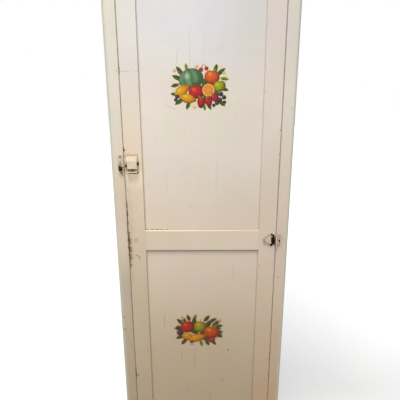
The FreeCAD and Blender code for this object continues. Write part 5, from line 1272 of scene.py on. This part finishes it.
LOWER_DESIGN = [
    ("leaf", "aged leaf", 1, -54, 30, 14, 32, -46), ("leaf", "aged leaf", 2, -60, 8, 13, 28, -86),
    ("leaf", "aged leaf", 1, -56, -22, 13, 30, -112), ("leaf", "aged leaf", 2, -44, -38, 13, 28, -140),
    ("leaf", "aged leaf", 1, -30, 44, 12, 24, -22), ("leaf", "pale leaf", 2, -12, 44, 11, 26, 20),
    ("leaf", "aged leaf", 1, 24, 42, 13, 28, 38), ("leaf", "aged leaf", 2, 42, 36, 12, 28, 62),
    ("leaf", "aged leaf", 1, 60, 16, 12, 26, 80), ("leaf", "aged leaf", 2, 62, -18, 12, 24, 112),
    ("leaf", "aged leaf", 1, 44, -40, 12, 28, 138), ("leaf", "pale leaf", 2, 8, -44, 11, 24, 168),
    ("leaf", "aged leaf", 2, -14, -4, 16, 34, -60), ("leaf", "aged leaf", 1, 14, -8, 16, 36, 64),
    ("leaf", "aged leaf", 1, -6, -2, 15, 30, 8), ("leaf", "aged leaf", 2, 20, -30, 13, 30, 120),
    ("leaf", "aged leaf", 1, 52, 4, 15, 32, 72), ("leaf", "aged leaf", 2, 60, -4, 13, 28, 94),
    ("leaf", "aged leaf", 2, 56, 30, 11, 24, 56), ("leaf", "aged leaf", 2, -44, 38, 11, 24, -34),
    ("apple", "tomato", 3, -33, 14, 42, 39, -8), ("apple", "greengage", 4, 4, 14, 36, 38, 6),
    ("apple", "peach", 5, 38, -6, 46, 42, 10), ("lemon", "lemon", 6, -4, -24, 46, 25, -16),
    ("lemon", "lemon", 5, -34, -20, 36, 23, 20), ("berry", "stem", 5, 6, 36, 2, 12, 14),
    ("berry", "stem", 4, -34, 34, 2, 10, -10), ("leaf", "pale leaf", 6, 50, 16, 9, 22, 66),
    ("round", "damson", 6, -56, -6, 18, 20, 0), ("round", "damson", 5, -62, 10, 14, 15, 0),
    ("berry", "strawberry", 6, 32, -36, 12, 12, 0), ("berry", "strawberry", 7, 44, -32, 12, 12, 0),
    ("leaf", "aged leaf", 1, 28, 22, 18, 36, 34), ("leaf", "aged leaf", 2, -14, 32, 15, 30, 8),
    ("leaf", "aged leaf", 1, -48, -12, 17, 36, -64), ("leaf", "aged leaf", 1, 30, -24, 16, 32, 74),
    ("leaf", "aged leaf", 1, 56, -12, 16, 32, 100), ("leaf", "aged leaf", 2, 50, 22, 15, 32, 44),
    ("leaf", "aged leaf", 1, -20, -36, 14, 28, -170), ("leaf", "aged leaf", 2, 26, -42, 12, 24, 152),
    ("berry", "stem", 2, 40, 30, 1.8, 16, -30), ("berry", "blossom", 3, -46, 42, 8, 8, 0),
    ("berry", "blossom", 3, 62, 34, 8, 8, 0), ("berry", "blossom", 3, -20, -46, 7, 7, 0),
    ("round", None, 0, -46, 0, 42, 60, 0), ("round", None, 0, 46, 2, 42, 62, 0),
]
FILM_STEP = 0.00005      # thickness of the film
INK_STEP = 0.000035      # and of each layer of ink on it
CUT_STEP = 0.0000006     # how much thicker each motif of a layer is than the last, so that no two coincide
FILM_MARGIN = 4.4        # mm that the film is larger than a motif
CONTOUR_MARGIN = 1.5     # mm that a contour is larger than its fruit
CONTOUR_DROP = 0.5       # mm that a contour sits lower than its fruit
NARROW_LEAF = 9          # mm: a pale leaf narrower than this lies on fruit and brings no film
LEAST_CONTOUR = 17       # mm: smaller fruit has no contour


def coats_of(kind, ink, width, height, film):
    """What a motif is printed in, from the panel outwards: film, a dark contour under larger fruit, ink."""
    coats = []
    if ink != "stem" and not (ink == "pale leaf" and width < NARROW_LEAF):
        coats.append(film)
    if ink and kind not in ("leaf", "berry") and min(width, height) >= LEAST_CONTOUR:
        coats.append("contour")
    if ink:
        coats.append(ink)
    return coats


def print_transfer(name, node, film, design):
    """One transfer, in place of the plain film of a node: each motif cut from its blank in every coat it
    has, with the yellowed film showing a little past everything."""
    low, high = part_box(node)
    middle_x = (low[0] + high[0]) / 2
    middle_z = (low[2] + high[2]) / 2
    margins = {film: FILM_MARGIN, "contour": CONTOUR_MARGIN}
    cuts = []
    cuts_at = {}
    for kind, ink, layer, across, up, width, height, turn in design:
        for coat in coats_of(kind, ink, width, height, film):
            level = {film: 0.0, "contour": layer - 0.5}.get(coat, layer)
            cuts_at[level] = cuts_at.get(level, 0) + 1
            thick = FILM_STEP + level * INK_STEP + cuts_at[level] * CUT_STEP
            margin = margins.get(coat, 0.0)
            drop = CONTOUR_DROP if coat == "contour" else 0.0
            cut = BLANKS[kind].copy()
            cut.data = cut.data.copy()
            bpy.context.collection.objects.link(cut)
            cut.data.materials.append(INKS[coat])
            cut.scale = ((width + margin) / 2 * MM, thick, (height + margin) / 2 * MM)
            cut.rotation_euler = (0.0, math.radians(turn), 0.0)
            cut.location = (middle_x + across * MM, PANEL_FACE, middle_z + (up - drop) * MM)
            cuts.append(cut)
    select_only(cuts)
    bpy.ops.object.transform_apply(location=True, rotation=True, scale=True)
    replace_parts(gather(cuts, name, "door"), node)


print_transfer("upper_fruit_print", "upper_transfer", "film", UPPER_DESIGN)
print_transfer("lower_fruit_print", "lower_transfer", "aged film", LOWER_DESIGN)
for blank in BLANKS.values():
    bpy.data.objects.remove(blank, do_unlink=True)


# ---------------------------------------------------------------- floor, light and camera

FLOOR_SIZE = 16.0
# the floor's shadow is partly real and partly painted, where the glow is dimmed round this centre
PAINTED_SHADOW_CENTRE = (0.645, 0.30, 0.0)      # middle of the soft shadow that the floor keeps
PAINTED_SHADOW_SHAPE = (0.59, 1.0, 1.0)         # its distances are taken times this, so it is wider than it is deep
SKY_LIGHT = 0.24                        # strength with which the white sky lights the cupboard


def seen_plainly(tree):
    """1 for rays from the camera, off gloss and through glass, 0 for the rays that light the cupboard."""
    path = put(tree, "LightPath").outputs
    seen = sums(tree, "ADD", path["Is Camera Ray"], path["Is Glossy Ray"], clamp=True)
    return sums(tree, "ADD", seen, path["Is Transmission Ray"], clamp=True)


def make_stage_white():
    """Floor that shows white to camera and gloss away from the object, with real and painted shadow."""
    material, tree, shader, place = new_material("pale floor")
    shader.inputs["Base Color"].default_value = (0.62, 0.62, 0.62, 1.0)
    shader.inputs["Roughness"].default_value = 0.9
    away = norm(tree, product(tree, away_from(tree, place["Object"], PAINTED_SHADOW_CENTRE), PAINTED_SHADOW_SHAPE))
    # painted shadow: the glow is dimmer towards the shadow's middle, and beyond its rim it evens out to
    # white
    near = ramp(tree, away, -1.92, 0.88, -0.807, 0.717)
    far = ramp(tree, away, 0.88, 1.90, 0.0, 0.30)
    lift = sums(tree, "MULTIPLY", seen_plainly(tree), sums(tree, "ADD", near, far))
    glow = put(tree, "Emission", {"Strength": lift})
    both = put(tree, "AddShader", {0: shader.outputs[0], 1: glow.outputs[0]})
    tree.links.new(both.outputs[0], tree.get_output_node("ALL").inputs["Surface"])
    return material


bpy.ops.mesh.primitive_plane_add(size=FLOOR_SIZE, location=(0.0, 0.0, 0.0))
floor = bpy.context.object
floor.name = "studio_floor"
floor.data.materials.append(make_stage_white())

world = bpy.data.worlds.new("studio")
bpy.context.scene.world = world
world.use_nodes = True
tree = world.node_tree
tree.nodes.clear()
sky = put(tree, "Background", {"Color": (1.0, 1.0, 1.0, 1.0),
                               "Strength": ramp(tree, seen_plainly(tree), 0.0, 1.0, SKY_LIGHT, 1.0)})
put(tree, "OutputWorld", {"Surface": sky.outputs[0]})


def soft_lamp(name, place, target, size, power, colour):
    """A square lamp of an even light, turned towards a target."""
    lamp = bpy.data.lights.new(name, "AREA")
    lamp.shape = "SQUARE"
    lamp.size = size
    lamp.energy = power
    lamp.color = colour
    holder = bpy.data.objects.new(name, lamp)
    bpy.context.collection.objects.link(holder)
    holder.location = place
    holder.rotation_euler = (Vector(target) - Vector(place)).to_track_quat("-Z", "Y").to_euler()


WARM_WHITE, WARMER_WHITE, DAYLIGHT_BLUE = (1.0, 0.985, 0.96), (1.0, 0.98, 0.94), (0.50, 0.72, 1.0)
soft_lamp("ceiling key", (-0.45, -1.70, 4.60), (0.0, -0.18, 1.0), 1.1, 123.0, WARM_WHITE)
soft_lamp("window behind the camera", (-0.085, -3.0, 1.71), (0.0, -0.18, 1.3), 0.40, 10.0, DAYLIGHT_BLUE)
soft_lamp("fill from the left", (-0.62, -1.80, 1.45), (0.0, -0.18, 1.05), 0.9, 5.0, WARMER_WHITE)
soft_lamp("fill from the right", (0.75, -1.80, 1.35), (0.0, -0.18, 1.05), 0.9, 2.0, WARMER_WHITE)

CAMERA_PLACE = (-0.00335, -1.34668, 1.42404)
VIEW_PITCH, VIEW_YAW, VIEW_ROLL = (math.radians(a) for a in (18.001, -0.107, -0.221))
ahead = Vector((math.sin(VIEW_YAW) * math.cos(VIEW_PITCH), math.cos(VIEW_YAW) * math.cos(VIEW_PITCH),
                -math.sin(VIEW_PITCH)))
level = Vector((math.cos(VIEW_YAW), -math.sin(VIEW_YAW), 0.0))
upright = level.cross(ahead)
right = math.cos(VIEW_ROLL) * level + math.sin(VIEW_ROLL) * upright
above = -math.sin(VIEW_ROLL) * level + math.cos(VIEW_ROLL) * upright

lens = bpy.data.cameras.new("camera")
lens.lens = 40.5
lens.sensor_width = 36.0
lens.sensor_fit = "HORIZONTAL"
lens.clip_start = 0.05
lens.clip_end = 60.0
camera = bpy.data.objects.new("camera", lens)
bpy.context.collection.objects.link(camera)
turned = Matrix((right, above, -ahead)).transposed().to_4x4()
camera.matrix_world = Matrix.Translation(CAMERA_PLACE) @ turned
bpy.context.scene.camera = camera
bpy.context.scene.view_settings.view_transform = "Standard"
